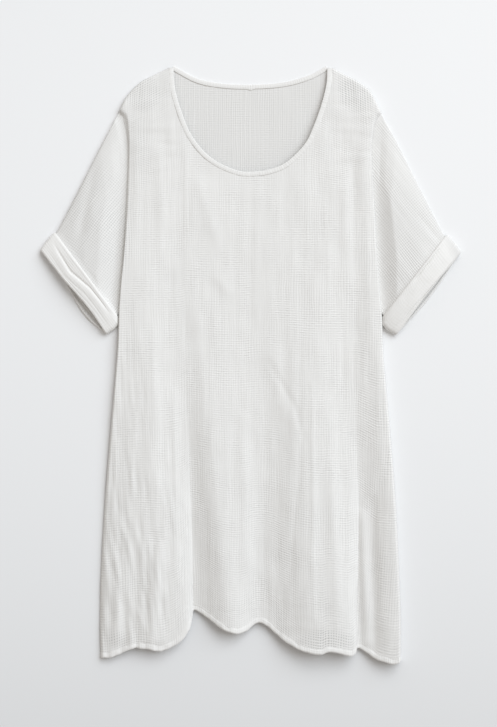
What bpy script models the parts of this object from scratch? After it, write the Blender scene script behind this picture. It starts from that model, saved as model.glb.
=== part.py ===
"""A loose gauze dress with a wide scooped crew neck, laid flat on its back with its front up.

The dress is made the way it is sewn: a back and a front panel, two dropped short sleeves, two
turned-up cuffs, a bound neckline in a front and a back stretch, and a narrow rolled hem on each panel.
Every piece is a closed wall of cloth. Outlines and folds are in millimetres, seen from above: X runs
to the right, Y towards the neck and Z up from the surface that the dress lies on.
"""
import bpy
import numpy as np

# Cloth and seams
MM = 0.001
PANEL_WALL = 1.6
SLEEVE_WALL = 1.4
CUFF_WALL = 2.4
SEAM_GAP = 0.3
BINDING_WIDTH = 7.0
BINDING_THICK = 2.6
BACK_BINDING_WIDTH = 7.0
BACK_BINDING_THICK = 2.4
HEM_WIDTH = 9.0
HEM_THICK = 2.8
HEM_CORNER = 30.0
RIM_THICK = 0.9
STEEPEST_WALL = 2.2
BINDING_LOWEST = 4.9

# Tubes pressed flat: their heights, how full they stand, and how far their folded ends bulge
CUFF_HEIGHT = 20.0
CUFF_EDGE_HEIGHT = 9.0
SLEEVE_EDGE_HEIGHT = 3.7
TUBE_FULLNESS = 0.6
FOLD_BULGE = 1.1
INNER_FOLD_BULGE = 0.8

# Sleeves lie low where the front's armhole edge covers them and rise away from it
SEAM_HEIGHT = 4.5
SEAM_RISE = 12.0
SEAM_RISE_WIDTH = 26.0
OVER_SLEEVE_REACH = 12.0
OVER_SLEEVE_DROP = 6.0

# Small folds fade out within this distance of the side seams
SMALL_FOLD_EDGE = 12.0

# Steps of the meshes
SHOULDER_STEPS = 7
NECK_STEPS = 30
PANEL_ROWS = 24
BACK_NECK_STEPS = 20
BACK_ROWS = 12
TUBE_STEPS = 11
BACK_SHOULDER_STEPS = 3
DENSE = 400
SAME = 1e-6

# Shares of a panel's width that the shoulders and the neck take, and of the back's side that the
# seam, the underarm notch and the armhole take
FRONT_BREAKS = (0.0, 0.19, 0.81, 1.0)
BACK_BREAKS = (0.0, 0.17, 0.83, 1.0)
BACK_SIDE_BREAKS = (0.0, 0.56, 0.6, 1.0)
SIDE_SHARE = 0.17

# Outlines, each point X, Y
LEFT_SIDE = (
    (-231.1, -453.9), (-232.2, -394.5), (-231.1, -335.8), (-225.4, -223.1), (-216.2, -105.8),
    (-205.2, 22.4), (-202.9, 79.5), (-199.9, 121.2), (-194.9, 171.2), (-191.1, 254.0),
    (-188.4, 315.7), (-189.4, 346.6), (-194.5, 374.4), (-203.8, 389.9),
)
RIGHT_SIDE = (
    (233.1, -457.8), (233.5, -394.5), (231.6, -335.8), (226.2, -223.1), (217.7, -110.4),
    (206.0, 22.4), (204.6, 67.8), (201.6, 97.4), (197.9, 141.7), (191.9, 254.0),
    (188.4, 315.7), (189.1, 346.6), (194.5, 374.4), (203.8, 388.3),
)
LEFT_SHOULDER = (
    (-203.8, 389.9), (-191.5, 413.9), (-170.9, 435.7), (-151.3, 446.5), (-125.6, 458.9),
)
RIGHT_SHOULDER = (
    (126.6, 459.0), (143.6, 450.4), (168.9, 437.0), (186.8, 421.7), (203.8, 388.3),
)
NECKLINE = (
    (-125.5, 458.2), (-123.6, 430.0), (-116.0, 399.0), (-99.5, 356.0), (-77.0, 325.0),
    (-56.0, 308.0), (-34.0, 297.0), (-12.0, 290.6), (10.0, 290.6), (31.0, 294.0),
    (53.0, 302.0), (75.0, 319.0), (93.0, 340.2), (104.0, 363.8), (113.0, 387.5),
    (120.2, 411.0), (125.2, 434.7), (126.5, 458.2),
)
BACK_NECKLINE = (
    (-118.0, 462.0), (-81.0, 442.5), (-44.5, 435.0), (1.0, 433.0), (53.0, 437.0),
    (92.0, 448.0), (117.5, 461.5),
)
FRONT_HEM = (
    (-231.1, -453.9), (-217.7, -453.0), (-189.0, -442.0), (-174.5, -437.3), (-155.9, -438.3),
    (-137.0, -442.0), (-111.2, -429.7), (-96.0, -409.0), (-89.5, -386.0), (-86.5, -380.0),
    (-79.5, -382.0), (-66.4, -390.6), (-50.2, -402.5), (-34.7, -411.3), (-17.6, -414.6),
    (-4.6, -410.2), (6.2, -401.4), (15.4, -398.8), (27.8, -404.7), (40.9, -416.7),
    (58.7, -429.7), (77.2, -439.3), (108.9, -446.0), (121.2, -441.5), (135.9, -443.6),
    (153.5, -448.0), (161.0, -443.5), (168.0, -439.0), (179.1, -445.1), (191.5, -453.2),
    (206.9, -458.7), (222.3, -461.3), (233.1, -457.8),
)
BACK_HEM = (
    (-230.4, -440.0), (-180.0, -420.0), (-130.0, -418.0), (-85.0, -362.0), (-40.0, -376.0),
    (14.0, -382.0), (100.0, -422.0), (165.0, -422.0), (231.0, -443.0),
)
ARMHOLE_X = 185.9
ARMHOLE_LOW = 66.0
UNDERARM = (204.9, 58.0)
ARMHOLE_HIGH = 421.0
BACK_NECK_POINT_X = 134.0

# The front's folds: across each level Y the cloth falls to the low lines and rises to the crests.
# Columns: Y, then X of crest_1, valley_1, crest_2, valley_2, crest_3, valley_3, crest_4
FOLD_PLACES = (
    (-445.0, -165.0, -88.0, -29.0, 11.0, 108.0, 164.0, 213.0),
    (-370.0, -160.0, -88.5, -33.0, 14.0, 102.0, 165.0, 215.0),
    (-223.0, -160.0, -91.0, -47.0, 22.0, 88.0, 168.0, 212.0),
    (-83.0, -166.0, -96.0, -62.0, 24.0, 92.0, 163.0, 203.0),
    (60.0, -170.0, -104.0, -76.0, 14.0, 104.0, 160.0, 191.0),
    (180.0, -168.0, -110.0, -80.0, 0.0, 118.0, 160.0, 182.0),
    (300.0, -170.0, -110.0, -80.0, 0.0, 120.0, 156.0, 176.0),
    (400.0, -165.0, -130.0, -80.0, 0.0, 80.0, 135.0, 170.0),
    (462.0, -118.0, -108.0, -60.0, 0.0, 60.0, 100.0, 116.0),
)
# Columns: Y, then height of left_edge, crest_1, valley_1, crest_2, valley_2, crest_3, valley_3,
# crest_4, right_edge
FOLD_HEIGHTS = (
    (-445.0, 6.6, 17.0, 6.2, 24.0, 8.5, 32.0, 6.4, 20.0, 6.6),
    (-370.0, 4.8, 16.0, 6.4, 22.0, 9.0, 28.0, 6.6, 18.0, 4.8),
    (-223.0, 4.4, 14.5, 7.2, 18.0, 9.4, 20.0, 7.0, 15.0, 4.4),
    (-83.0, 4.4, 13.0, 9.0, 14.5, 10.0, 16.0, 7.8, 13.0, 4.4),
    (60.0, 6.4, 12.0, 10.8, 12.0, 10.6, 13.5, 9.4, 12.0, 6.4),
    (180.0, 7.4, 12.0, 11.0, 11.4, 10.8, 12.5, 10.4, 12.4, 7.4),
    (300.0, 7.4, 11.5, 10.8, 10.8, 10.4, 11.4, 10.2, 12.0, 7.4),
    (400.0, 6.6, 8.6, 9.0, 9.0, 9.0, 9.0, 9.0, 8.6, 6.6),
    (462.0, 4.9, 5.0, 5.0, 5.0, 5.0, 5.0, 5.0, 5.0, 4.9),
)
# How crisp the cloth turns at left_edge, valley_1, valley_2, valley_3 and right_edge, 0 soft to 1
CRISP = (0.8, 0.8, 0.2, 0.8, 0.8)

# Smaller folds, straight and rounded. Columns: X and Y of the start, X and Y of the end, height,
# half width
SMALL_FOLDS = (
    (-80.0, 282.0, -46.0, 175.0, 1.2, 9.0),
    (-55.0, 137.0, -32.0, 108.0, 1.2, 8.0),
    (30.0, 40.0, 46.0, -60.0, 2.0, 10.0),
    (46.0, -60.0, 80.0, -110.0, 2.4, 9.0),
    (-140.0, -280.0, -150.0, -425.0, 3.6, 9.0),
    (-203.0, -300.0, -206.0, -425.0, 2.6, 9.0),
    (183.0, -300.0, 206.0, -420.0, 2.6, 8.0),
    (-150.0, 60.0, -150.0, -230.0, 1.6, 11.0),
    (-12.0, -80.0, -3.0, -330.0, 1.8, 9.0),
    (122.0, -60.0, 134.0, -400.0, 2.0, 10.0),
    (146.0, 330.0, 150.0, 120.0, 1.4, 9.0),
    (-136.0, 330.0, -140.0, 160.0, 1.4, 9.0),
)

# Sleeve sections from the armhole to the cuff.
# Columns: X and Y at the underarm, X and Y at the shoulder edge, height
LEFT_SLEEVE = (
    (-186.2, 66.8, -186.2, 409.0, 4.5),
    (-190.0, 68.0, -204.0, 386.0, 6.0),
    (-193.0, 69.3, -216.0, 362.0, 11.0),
    (-196.0, 70.8, -231.6, 332.7, 14.0),
    (-198.8, 73.0, -256.0, 284.0, 15.5),
    (-201.6, 76.4, -281.0, 234.5, 16.0),
    (-204.6, 80.6, -295.5, 206.5, 16.0),
)
RIGHT_SLEEVE = (
    (186.2, 66.8, 186.2, 407.0, 4.5),
    (190.0, 68.0, 204.5, 383.5, 6.0),
    (193.0, 69.3, 214.0, 366.0, 10.0),
    (196.0, 70.8, 226.5, 344.0, 13.0),
    (198.8, 73.0, 252.0, 292.0, 14.5),
    (201.8, 76.4, 282.0, 233.0, 15.0),
    (205.0, 80.6, 298.0, 202.0, 15.0),
)
# Cuff sections from its turned-up edge to the opening.
# Columns: X and Y at the underarm end, X and Y at the shoulder end
LEFT_CUFF = (
    (-205.8, 75.5, -300.0, 203.0),
    (-206.8, 64.5, -307.5, 196.0),
    (-213.0, 56.0, -315.0, 186.5),
    (-221.0, 50.0, -321.0, 178.0),
    (-223.5, 48.6, -322.7, 175.2),
)
RIGHT_CUFF = (
    (206.8, 75.5, 303.0, 199.5),
    (207.8, 64.5, 310.0, 192.0),
    (215.0, 54.5, 318.0, 182.0),
    (225.0, 48.4, 323.5, 174.5),
    (228.0, 47.4, 325.0, 171.8),
)
# Along a cuff: depth as a share of the section table, inset of the outer face, inset of the inner
CUFF_PROFILE = (
    (0.0, 0.6, CUFF_WALL),
    (1.0, 0.0, CUFF_WALL),
    (2.0, 0.0, CUFF_WALL),
    (2.8, 0.0, CUFF_WALL),
    (3.4, 0.0, CUFF_WALL + SEAM_GAP + SLEEVE_WALL),
    (4.0, 1.0, CUFF_WALL + SEAM_GAP + SLEEVE_WALL - 0.6),
)
SLEEVE_IN_CUFF = (0.0, 1.0, 2.0, 2.7)

# How far the lower layer of each cuff looks out past the upper one
LOWER_LAYER_REACH = {"left": 8.0, "right": 5.0}

COTTON = (0.80, 0.80, 0.785)
BAND_COTTON = (0.84, 0.84, 0.825)


def dense_path(points, count=DENSE):
    """Cubic path through the points, with the slope at each one taken from its neighbours."""
    points = np.asarray(points, dtype=float)
    knots = np.concatenate(([0.0], np.cumsum(np.linalg.norm(np.diff(points, axis=0), axis=1))))
    slopes = np.empty_like(points)
    slopes[1:-1] = (points[2:] - points[:-2]) / (knots[2:] - knots[:-2])[:, None]
    slopes[0] = (points[1] - points[0]) / (knots[1] - knots[0])
    slopes[-1] = (points[-1] - points[-2]) / (knots[-1] - knots[-2])
    places = np.linspace(0.0, knots[-1], count)
    index = np.clip(np.searchsorted(knots, places, side="right") - 1, 0, len(knots) - 2)
    span = (knots[index + 1] - knots[index])[:, None]
    t = (places - knots[index])[:, None] / span
    return (
        (2 * t**3 - 3 * t**2 + 1) * points[index]
        + (t**3 - 2 * t**2 + t) * span * slopes[index]
        + (3 * t**2 - 2 * t**3) * points[index + 1]
        + (t**3 - t**2) * span * slopes[index + 1]
    )


def at_share(path, share, measured_on=None):
    """Points of a dense path at shares of its length, or of that of the path it was moved from."""
    measured = path if measured_on is None else measured_on
    lengths = np.concatenate(([0.0], np.cumsum(np.linalg.norm(np.diff(measured, axis=0), axis=1))))
    places = np.asarray(share) * lengths[-1]
    return np.stack([np.interp(places, lengths, path[:, k]) for k in (0, 1)], axis=-1)


def moved_out(path, distance, upright_ends=0.0):
    """The path moved to the left of its direction, or straight up within a stretch of each end."""
    ahead = np.gradient(path, axis=0)
    ahead /= np.linalg.norm(ahead, axis=1)[:, None]
    aside = np.stack([-ahead[:, 1], ahead[:, 0]], axis=-1)
    if upright_ends:
        from_end = np.minimum(path[:, 0] - path[0, 0], path[-1, 0] - path[:, 0])
        share = np.clip(1.0 - from_end / upright_ends, 0.0, 1.0)[:, None]
        aside = (1.0 - share) * aside + share * np.array([0.0, 1.0])
        aside /= np.linalg.norm(aside, axis=1)[:, None]
    return path + distance * aside


def joined(parts, breaks, share):
    """One edge made of several paths, each one filling the stretch between two breaks."""
    points = np.empty((len(share), 2))
    for (part, measured_on), start, end in zip(parts, breaks[:-1], breaks[1:]):
        inside = (share >= start - SAME) & (share <= end + SAME)
        points[inside] = at_share(part, (share[inside] - start) / (end - start), measured_on)
    return points


def patch(bottom, top, left, right, u, v):
    """Surface spanned by four edges: straight runs from bottom to top, bent near the two sides.

    Each side's bow, its distance from the straight run between its ends, fades over SIDE_SHARE.
    """
    u = u[:, None, None]
    v = v[None, :, None]
    runs = (1 - v) * bottom[:, None] + v * top[:, None]
    left_bow = left[None] - ((1 - v) * bottom[0] + v * top[0])
    right_bow = right[None] - ((1 - v) * bottom[-1] + v * top[-1])
    near_left = np.clip(1.0 - u / SIDE_SHARE, 0.0, 1.0) ** 2
    near_right = np.clip(1.0 - (1.0 - u) / SIDE_SHARE, 0.0, 1.0) ** 2
    return runs + near_left * left_bow + near_right * right_bow


def smooth_rows(table, y):
    """Columns of a table at level y, on a cubic through its rows."""
    rows = np.asarray(table, dtype=float)
    level = rows[:, 0]
    slopes = np.gradient(rows[:, 1:], level, axis=0)
    y = np.clip(y, level[0], level[-1])
    index = np.clip(np.searchsorted(level, y, side="right") - 1, 0, len(level) - 2)
    span = (level[index + 1] - level[index])[..., None]
    t = (y - level[index])[..., None] / span
    return (
        (2 * t**3 - 3 * t**2 + 1) * rows[index, 1:]
        + (t**3 - 2 * t**2 + t) * span * slopes[index]
        + (3 * t**2 - 2 * t**3) * rows[index + 1, 1:]
        + (t**3 - t**2) * span * slopes[index + 1]
    )


def front_height(x, y):
    """Height of the front panel's upper face: large folds between their lines, then small ones.

    From a low line to a crest the cloth rises by a blend of a quarter sine, which turns crisply at
    the low line, and a smooth step. A small fold is a ridge with the section of a bell curve.
    """
    left = np.interp(y, *front_edge(LEFT_SIDE, LEFT_SHOULDER))
    right = np.interp(y, *front_edge(RIGHT_SIDE, RIGHT_SHOULDER))
    places = smooth_rows(FOLD_PLACES, y)
    places = np.concatenate([left[..., None], places, right[..., None]], axis=-1)
    heights = smooth_rows(FOLD_HEIGHTS, y)
    height = np.where(x < 0, heights[..., 0], heights[..., -1])
    last = places.shape[-1] - 1
    for k in range(last):
        low, crest = (k, k + 1) if k % 2 == 0 else (k + 1, k)
        t = (x - places[..., low]) / (places[..., crest] - places[..., low])
        t = np.clip(t, 0.0, 1.0)
        crisp = CRISP[low // 2]
        rise = crisp * np.sin(0.5 * np.pi * t) + (1 - crisp) * t * t * (3 - 2 * t)
        folded = heights[..., low] + (heights[..., crest] - heights[..., low]) * rise
        here = (x >= places[..., k]) & (x <= places[..., k + 1])
        height = np.where(here, folded, height)
    near_edge = np.clip(np.minimum(x - left, right - x) / SMALL_FOLD_EDGE, 0.0, 1.0)
    for x1, y1, x2, y2, rise, half_width in SMALL_FOLDS:
        run = np.array([x2 - x1, y2 - y1])
        t = ((x - x1) * run[0] + (y - y1) * run[1]) / (run @ run)
        beside = np.hypot(x - x1 - np.clip(t, 0, 1) * run[0], y - y1 - np.clip(t, 0, 1) * run[1])
        fade = np.sin(np.pi * np.clip(0.08 + 0.84 * t, 0.0, 1.0)) ** 0.5
        height = height + near_edge * rise * fade * np.exp(-(beside / half_width) ** 2)
    return height


def front_edge(side, shoulder):
    """Levels and X of one side of the front, from the hem corner to the neck point."""
    edge = np.concatenate([dense_path(side), dense_path(shoulder)])
    order = np.argsort(edge[:, 1])
    return edge[order, 1], edge[order, 0]


def steepness(x, y):
    """Ratio of a sloping wall's upright thickness to its true one."""
    slope_x = (front_height(x + 1.0, y) - front_height(x - 1.0, y)) / 2.0
    slope_y = (front_height(x, y + 1.0) - front_height(x, y - 1.0)) / 2.0
    return np.sqrt(1.0 + slope_x**2 + slope_y**2)


def wall_between(upper, lower, closed):
    """Vertices and faces of a closed wall between two grids of the same size."""
    rows, columns = upper.shape[:2]
    vertices = np.concatenate([upper.reshape(-1, 3), lower.reshape(-1, 3)])
    under = rows * columns
    faces = []
    for i in range(rows if closed else rows - 1):
        i2 = (i + 1) % rows
        for j in range(columns - 1):
            a, b = i * columns + j, i2 * columns + j
            c, d = b + 1, a + 1
            faces.append((a, b, c, d))
            faces.append((under + d, under + c, under + b, under + a))
        for j, turned in ((0, False), (columns - 1, True)):
            a, b = i * columns + j, i2 * columns + j
            rim = (b, a, under + a, under + b)
            faces.append(rim[::-1] if turned else rim)
    if not closed:
        for j in range(columns - 1):
            a, d = j, j + 1
            faces.append((a, d, under + d, under + a))
            a, d = (rows - 1) * columns + j, (rows - 1) * columns + j + 1
            faces.append((d, a, under + a, under + d))
    return vertices, faces


def with_height(plan, height):
    """Points of a plan lifted to their heights."""
    return np.concatenate([plan, height[..., None]], axis=-1)


def rounded_band(near, far, steps, middle, thick, flat_under):
    """A bound or rolled edge: a strip between two paths, thick along its middle, thin at its rims."""
    share = np.linspace(0.0, 1.0, steps)
    plan = near[:, None] * (1 - share)[None, :, None] + far[:, None] * share[None, :, None]
    roundness = np.sqrt(np.clip(1.0 - (2.0 * share - 1.0) ** 4, 0.0, 1.0))
    half = 0.5 * (RIM_THICK + (thick - RIM_THICK) * roundness)[None, :]
    middle = middle(plan[..., 0], plan[..., 1]) + np.zeros_like(plan[..., 0])
    lower = middle - half
    if flat_under:
        lower = np.where(roundness[None, :] > 0.5, 0.0, lower)
    return with_height(plan, middle + half), with_height(plan, lower)


def seam_height(x, y):
    """Highest a sleeve may stand: low under the front's armhole edge, rising away from it."""
    left = np.interp(y, *front_edge(LEFT_SIDE, LEFT_SHOULDER))
    right = np.interp(y, *front_edge(RIGHT_SIDE, RIGHT_SHOULDER))
    away = np.clip(np.where(x < 0, left - x, x - right) / SEAM_RISE_WIDTH, 0.0, 1.0)
    return SEAM_HEIGHT + SEAM_RISE * away * away * (3.0 - 2.0 * away)


def tube_loop(section, height, edge_height, inset, lower_shift, seam=False):
    """One loop of a tube pressed flat: an upper layer that rises, a flat lower layer, folded ends."""
    start = np.array(section[0:2])
    end = np.array(section[2:4])
    length = np.linalg.norm(end - start)
    along = (end - start) / length
    turn = 0.5 - 0.5 * np.cos(np.pi * np.arange(TUBE_STEPS + 1) / TUBE_STEPS)
    place = inset + (length - 2.0 * inset) * turn
    rise = np.clip(np.sin(np.pi * place / length), 0.0, 1.0) ** TUBE_FULLNESS
    upper = edge_height + (height - edge_height) * rise
    if seam:
        spots = start + place[:, None] * along
        upper = np.minimum(upper, seam_height(spots[:, 0], spots[:, 1]))
    upper = upper - inset
    lower = np.full_like(upper, inset)
    middle = 0.5 * (upper[0] + lower[0])
    fold = INNER_FOLD_BULGE if inset > 0.0 else FOLD_BULGE
    places = np.concatenate([place, [length - inset + fold], place[::-1], [inset - fold]])
    heights = np.concatenate([upper, [middle], lower[::-1], [middle]])
    plan = start + places[:, None] * along
    shift = np.zeros(len(places))
    back = slice(TUBE_STEPS + 2, 2 * TUBE_STEPS + 3)
    shift[back] = np.sin(np.pi * place[::-1] / length)
    plan = plan + shift[:, None] * np.asarray(lower_shift)
    return with_height(plan, heights)


def row_of(table, place):
    """A row of a table at a place counted in rows, between its neighbours where it isn't whole."""
    rows = np.asarray(table, dtype=float)
    return np.array([np.interp(place, np.arange(len(rows)), rows[:, k]) for k in range(rows.shape[1])])


def outward(cuff_table):
    """How the opening side of a cuff faces, as a unit vector in the plane."""
    first, last = np.asarray(cuff_table[0]), np.asarray(cuff_table[-1])
    way = 0.5 * (last[0:2] + last[2:4]) - 0.5 * (first[0:2] + first[2:4])
    return way / np.linalg.norm(way)


def sleeve(sections, cuff_table, lower_reach):
    """A sleeve: a tube pressed flat, from under the front's armhole edge to inside its cuff."""
    outer, inner = [], []
    for section in sections:
        for loops, inset in ((outer, 0.0), (inner, SLEEVE_WALL)):
            loops.append(tube_loop(
                section, section[4], SLEEVE_EDGE_HEIGHT, inset, (0.0, 0.0), seam=True))
    way = outward(cuff_table)
    for place in SLEEVE_IN_CUFF:
        section = row_of(cuff_table, place)
        shift = way * lower_reach * place / (len(cuff_table) - 1)
        for loops, inset in ((outer, 0.0), (inner, SLEEVE_WALL)):
            loops.append(tube_loop(
                section, CUFF_HEIGHT, CUFF_EDGE_HEIGHT, CUFF_WALL + SEAM_GAP + inset, shift))
    return as_tube(outer, inner)


def cuff(cuff_table, lower_reach):
    """A turned-up cuff: a thick band round the sleeve's end, folded in over its cut edge."""
    outer, inner = [], []
    way = outward(cuff_table)
    for place, outer_inset, inner_inset in CUFF_PROFILE:
        section = row_of(cuff_table, place)
        shift = way * lower_reach * place / (len(cuff_table) - 1)
        for loops, inset in ((outer, outer_inset), (inner, inner_inset)):
            loops.append(tube_loop(section, CUFF_HEIGHT, CUFF_EDGE_HEIGHT, inset, shift))
    for loop in outer:
        under = slice(TUBE_STEPS + 2, 2 * TUBE_STEPS + 3)
        loop[under, 2] = 0.0
    return as_tube(outer, inner)


def as_tube(outer, inner):
    """A closed tube between loops of its outer face and loops of its inner face."""
    outer = np.stack(outer, axis=1)
    inner = np.stack(inner, axis=1)
    return wall_between(outer, inner, closed=True)


def shares_between(breaks, steps):
    """Shares from 0 to 1, each stretch between two breaks in its own number of even steps."""
    stretches = zip(breaks[:-1], breaks[1:], steps)
    shares = np.concatenate([np.linspace(start, end, count + 1) for start, end, count in stretches])
    return np.unique(np.round(shares, 6))


def shares_of_neck(breaks, shares):
    """The shares that lie on the neck's stretch, counted from 0 to 1 along it."""
    inside = shares[(shares >= breaks[1] - SAME) & (shares <= breaks[2] + SAME)]
    return (inside - breaks[1]) / (breaks[2] - breaks[1])


def hem_at(hem, distance, shares):
    """The hem moved up by a distance, at even steps of X measured on the hem itself."""
    path = dense_path(hem)
    moved = moved_out(path, distance, HEM_CORNER)
    x = path[0, 0] + shares * (path[-1, 0] - path[0, 0])
    order = np.argsort(path[:, 0])
    return np.stack([np.interp(x, path[order, 0], moved[order, k]) for k in (0, 1)], axis=-1)


def side_above(path, level):
    """The part of a side that lies above a level."""
    return path[path[:, 1] >= level]


def front_pieces():
    """The front panel, its stretch of the neck binding and its hem."""
    breaks = FRONT_BREAKS
    u = shares_between(breaks, (SHOULDER_STEPS, NECK_STEPS, SHOULDER_STEPS))
    v = np.linspace(0.0, 1.0, PANEL_ROWS + 1)
    bottom = hem_at(FRONT_HEM, HEM_WIDTH + SEAM_GAP, u)
    neck = dense_path(NECKLINE)
    panel_neck = moved_out(neck, -SEAM_GAP)
    left_shoulder = dense_path(LEFT_SHOULDER)
    right_shoulder = dense_path(RIGHT_SHOULDER)
    left_shoulder = left_shoulder[left_shoulder[:, 0] < panel_neck[0, 0]]
    right_shoulder = right_shoulder[right_shoulder[:, 0] > panel_neck[-1, 0]]
    left_shoulder = np.concatenate([left_shoulder, panel_neck[:1]])
    right_shoulder = np.concatenate([panel_neck[-1:], right_shoulder])
    top = joined([(left_shoulder, None), (panel_neck, neck), (right_shoulder, None)], breaks, u)
    sides = []
    for side, corner in ((LEFT_SIDE, bottom[0]), (RIGHT_SIDE, bottom[-1])):
        path = side_above(dense_path(side), corner[1] + 0.5)
        sides.append(at_share(np.concatenate([corner[None], path]), v))
    sides[0][-1] = top[0]
    sides[1][-1] = top[-1]
    plan = patch(bottom, top, sides[0], sides[1], u, v)
    x, y = plan[..., 0], plan[..., 1]
    upper = front_height(x, y)
    lower = upper - PANEL_WALL * np.minimum(steepness(x, y), STEEPEST_WALL)
    over_sleeve = np.abs(x) > ARMHOLE_X - OVER_SLEEVE_REACH
    over_sleeve &= y > ARMHOLE_LOW - OVER_SLEEVE_DROP
    clear = np.where(over_sleeve, SEAM_HEIGHT + SEAM_GAP, PANEL_WALL + SEAM_GAP)
    lower = np.maximum(lower, clear)
    upper = np.maximum(upper, lower + PANEL_WALL)
    panel = wall_between(with_height(plan, upper), with_height(plan, lower), closed=False)

    neck_u = shares_of_neck(breaks, u)
    outer_edge = at_share(neck, neck_u)
    inner_edge = at_share(moved_out(neck, BINDING_WIDTH), neck_u, neck)

    def binding_middle(x, y):
        return np.maximum(front_height(x, y), BINDING_LOWEST)[:, :1] - 0.5 * PANEL_WALL

    upper, lower = rounded_band(outer_edge, inner_edge, 5, binding_middle, BINDING_THICK, False)
    binding = wall_between(upper, lower, closed=False)

    def hem_middle(x, y):
        return front_height(x, y) - 0.5 * PANEL_WALL

    hem_low = hem_at(FRONT_HEM, 0.0, u)
    hem_high = hem_at(FRONT_HEM, HEM_WIDTH, u)
    upper, lower = rounded_band(hem_low, hem_high, 4, hem_middle, HEM_THICK, False)
    hem = wall_between(upper, lower, closed=False)
    return panel, binding, hem


def back_pieces():
    """The back panel, its stretch of the neck binding and its hem, all flat on the surface."""
    u = shares_between(BACK_BREAKS, (BACK_SHOULDER_STEPS, BACK_NECK_STEPS, BACK_SHOULDER_STEPS))
    v = shares_between(BACK_SIDE_BREAKS, (BACK_ROWS // 2, 1, BACK_ROWS // 2 - 1))
    bottom = hem_at(BACK_HEM, HEM_WIDTH + SEAM_GAP, u)
    neck = dense_path(BACK_NECKLINE)
    panel_neck = moved_out(neck, -BACK_BINDING_WIDTH - SEAM_GAP)
    edges = []
    for side, shoulder, sign, corner in (
        (LEFT_SIDE, LEFT_SHOULDER, -1.0, bottom[0]),
        (RIGHT_SIDE, RIGHT_SHOULDER[::-1], 1.0, bottom[-1]),
    ):
        path = dense_path(side)
        path = path[(path[:, 1] > corner[1] + 0.5) & (path[:, 1] < UNDERARM[1] - 1.0)]
        underarm = np.array([[sign * UNDERARM[0], UNDERARM[1]]])
        path = np.concatenate([corner[None], path, underarm])
        armhole_low = np.array([[sign * ARMHOLE_X, ARMHOLE_LOW]])
        armhole_high = np.array([[sign * ARMHOLE_X, ARMHOLE_HIGH]])
        notch = np.concatenate([underarm, armhole_low])
        armhole = np.concatenate([armhole_low, armhole_high])
        shoulder = dense_path(shoulder)
        reach = np.abs(shoulder[:, 0])
        inside = (reach < ARMHOLE_X - 1.0) & (reach > BACK_NECK_POINT_X)
        neck_point = panel_neck[0 if sign < 0 else -1]
        shoulder = np.concatenate([armhole_high, shoulder[inside], neck_point[None]])
        side_edge = joined([(path, None), (notch, None), (armhole, None)], BACK_SIDE_BREAKS, v)
        edges.append((side_edge, shoulder))
    top = joined(
        [(edges[0][1], None), (panel_neck, neck), (edges[1][1][::-1], None)], BACK_BREAKS, u)
    plan = patch(bottom, top, edges[0][0], edges[1][0], u, v)
    flat = np.zeros(plan.shape[:2])
    panel = wall_between(with_height(plan, flat + PANEL_WALL), with_height(plan, flat), closed=False)

    neck_u = shares_of_neck(BACK_BREAKS, u)
    outer_edge = at_share(neck, neck_u)
    inner_edge = at_share(moved_out(neck, -BACK_BINDING_WIDTH), neck_u, neck)
    upper, lower = rounded_band(
        inner_edge, outer_edge, 5, lambda x, y: 0.5 * BACK_BINDING_THICK, BACK_BINDING_THICK, True)
    binding = wall_between(upper, lower, closed=False)
    upper, lower = rounded_band(
        hem_at(BACK_HEM, 0.0, u), hem_at(BACK_HEM, HEM_WIDTH, u), 4,
        lambda x, y: 0.5 * HEM_THICK, HEM_THICK, True)
    hem = wall_between(upper, lower, closed=False)
    return panel, binding, hem


def material(name, colour, roughness):
    """Matt cloth in one colour."""
    made = bpy.data.materials.new(name)
    made.use_nodes = True
    shader = made.node_tree.nodes["Principled BSDF"]
    shader.inputs["Base Color"].default_value = (*colour, 1.0)
    shader.inputs["Roughness"].default_value = roughness
    shader.inputs["Metallic"].default_value = 0.0
    return made


def add_object(name, vertices, faces, cloth):
    """One named piece of cloth in the scene, its millimetres turned into metres."""
    mesh = bpy.data.meshes.new(name)
    mesh.from_pydata((vertices * MM).tolist(), [], faces)
    mesh.update()
    mesh.materials.append(cloth)
    mesh.shade_smooth()
    mesh.set_sharp_from_angle(angle=np.radians(50.0))
    made = bpy.data.objects.new(name, mesh)
    bpy.context.scene.collection.objects.link(made)
    return made


def outward_faces(vertices, faces):
    """The same faces, all turned round if the solid would be inside out."""
    volume = 0.0
    for face in faces:
        a = vertices[face[0]]
        for k in range(1, len(face) - 1):
            volume += np.dot(a, np.cross(vertices[face[k]], vertices[face[k + 1]]))
    return faces if volume > 0.0 else [face[::-1] for face in faces]


def main():
    """Builds every piece and puts the middle of the whole outline at the origin."""
    for old in list(bpy.data.objects):
        bpy.data.objects.remove(old)
    front, neck_front, hem_front = front_pieces()
    back, neck_back, hem_back = back_pieces()
    reach = LOWER_LAYER_REACH
    pieces = {
        "back_panel": back,
        "front_panel": front,
        "sleeve_left": sleeve(LEFT_SLEEVE, LEFT_CUFF, reach["left"]),
        "sleeve_right": sleeve(RIGHT_SLEEVE, RIGHT_CUFF, reach["right"]),
        "cuff_left": cuff(LEFT_CUFF, reach["left"]),
        "cuff_right": cuff(RIGHT_CUFF, reach["right"]),
        "neck_binding_front": neck_front,
        "neck_binding_back": neck_back,
        "hem_front": hem_front,
        "hem_back": hem_back,
    }
    every = np.concatenate([vertices for vertices, faces in pieces.values()])
    centre = 0.5 * (every.min(axis=0) + every.max(axis=0))
    centre[2] = every[:, 2].min()
    panel_cotton = material("gauze_cotton", COTTON, 0.85)
    band_cotton = material("folded_cotton", BAND_COTTON, 0.8)
    for name, (vertices, faces) in pieces.items():
        cloth = panel_cotton if name.endswith("panel") or name.startswith("sleeve") else band_cotton
        add_object(name, vertices - centre, outward_faces(vertices, faces), cloth)


main()
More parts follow.
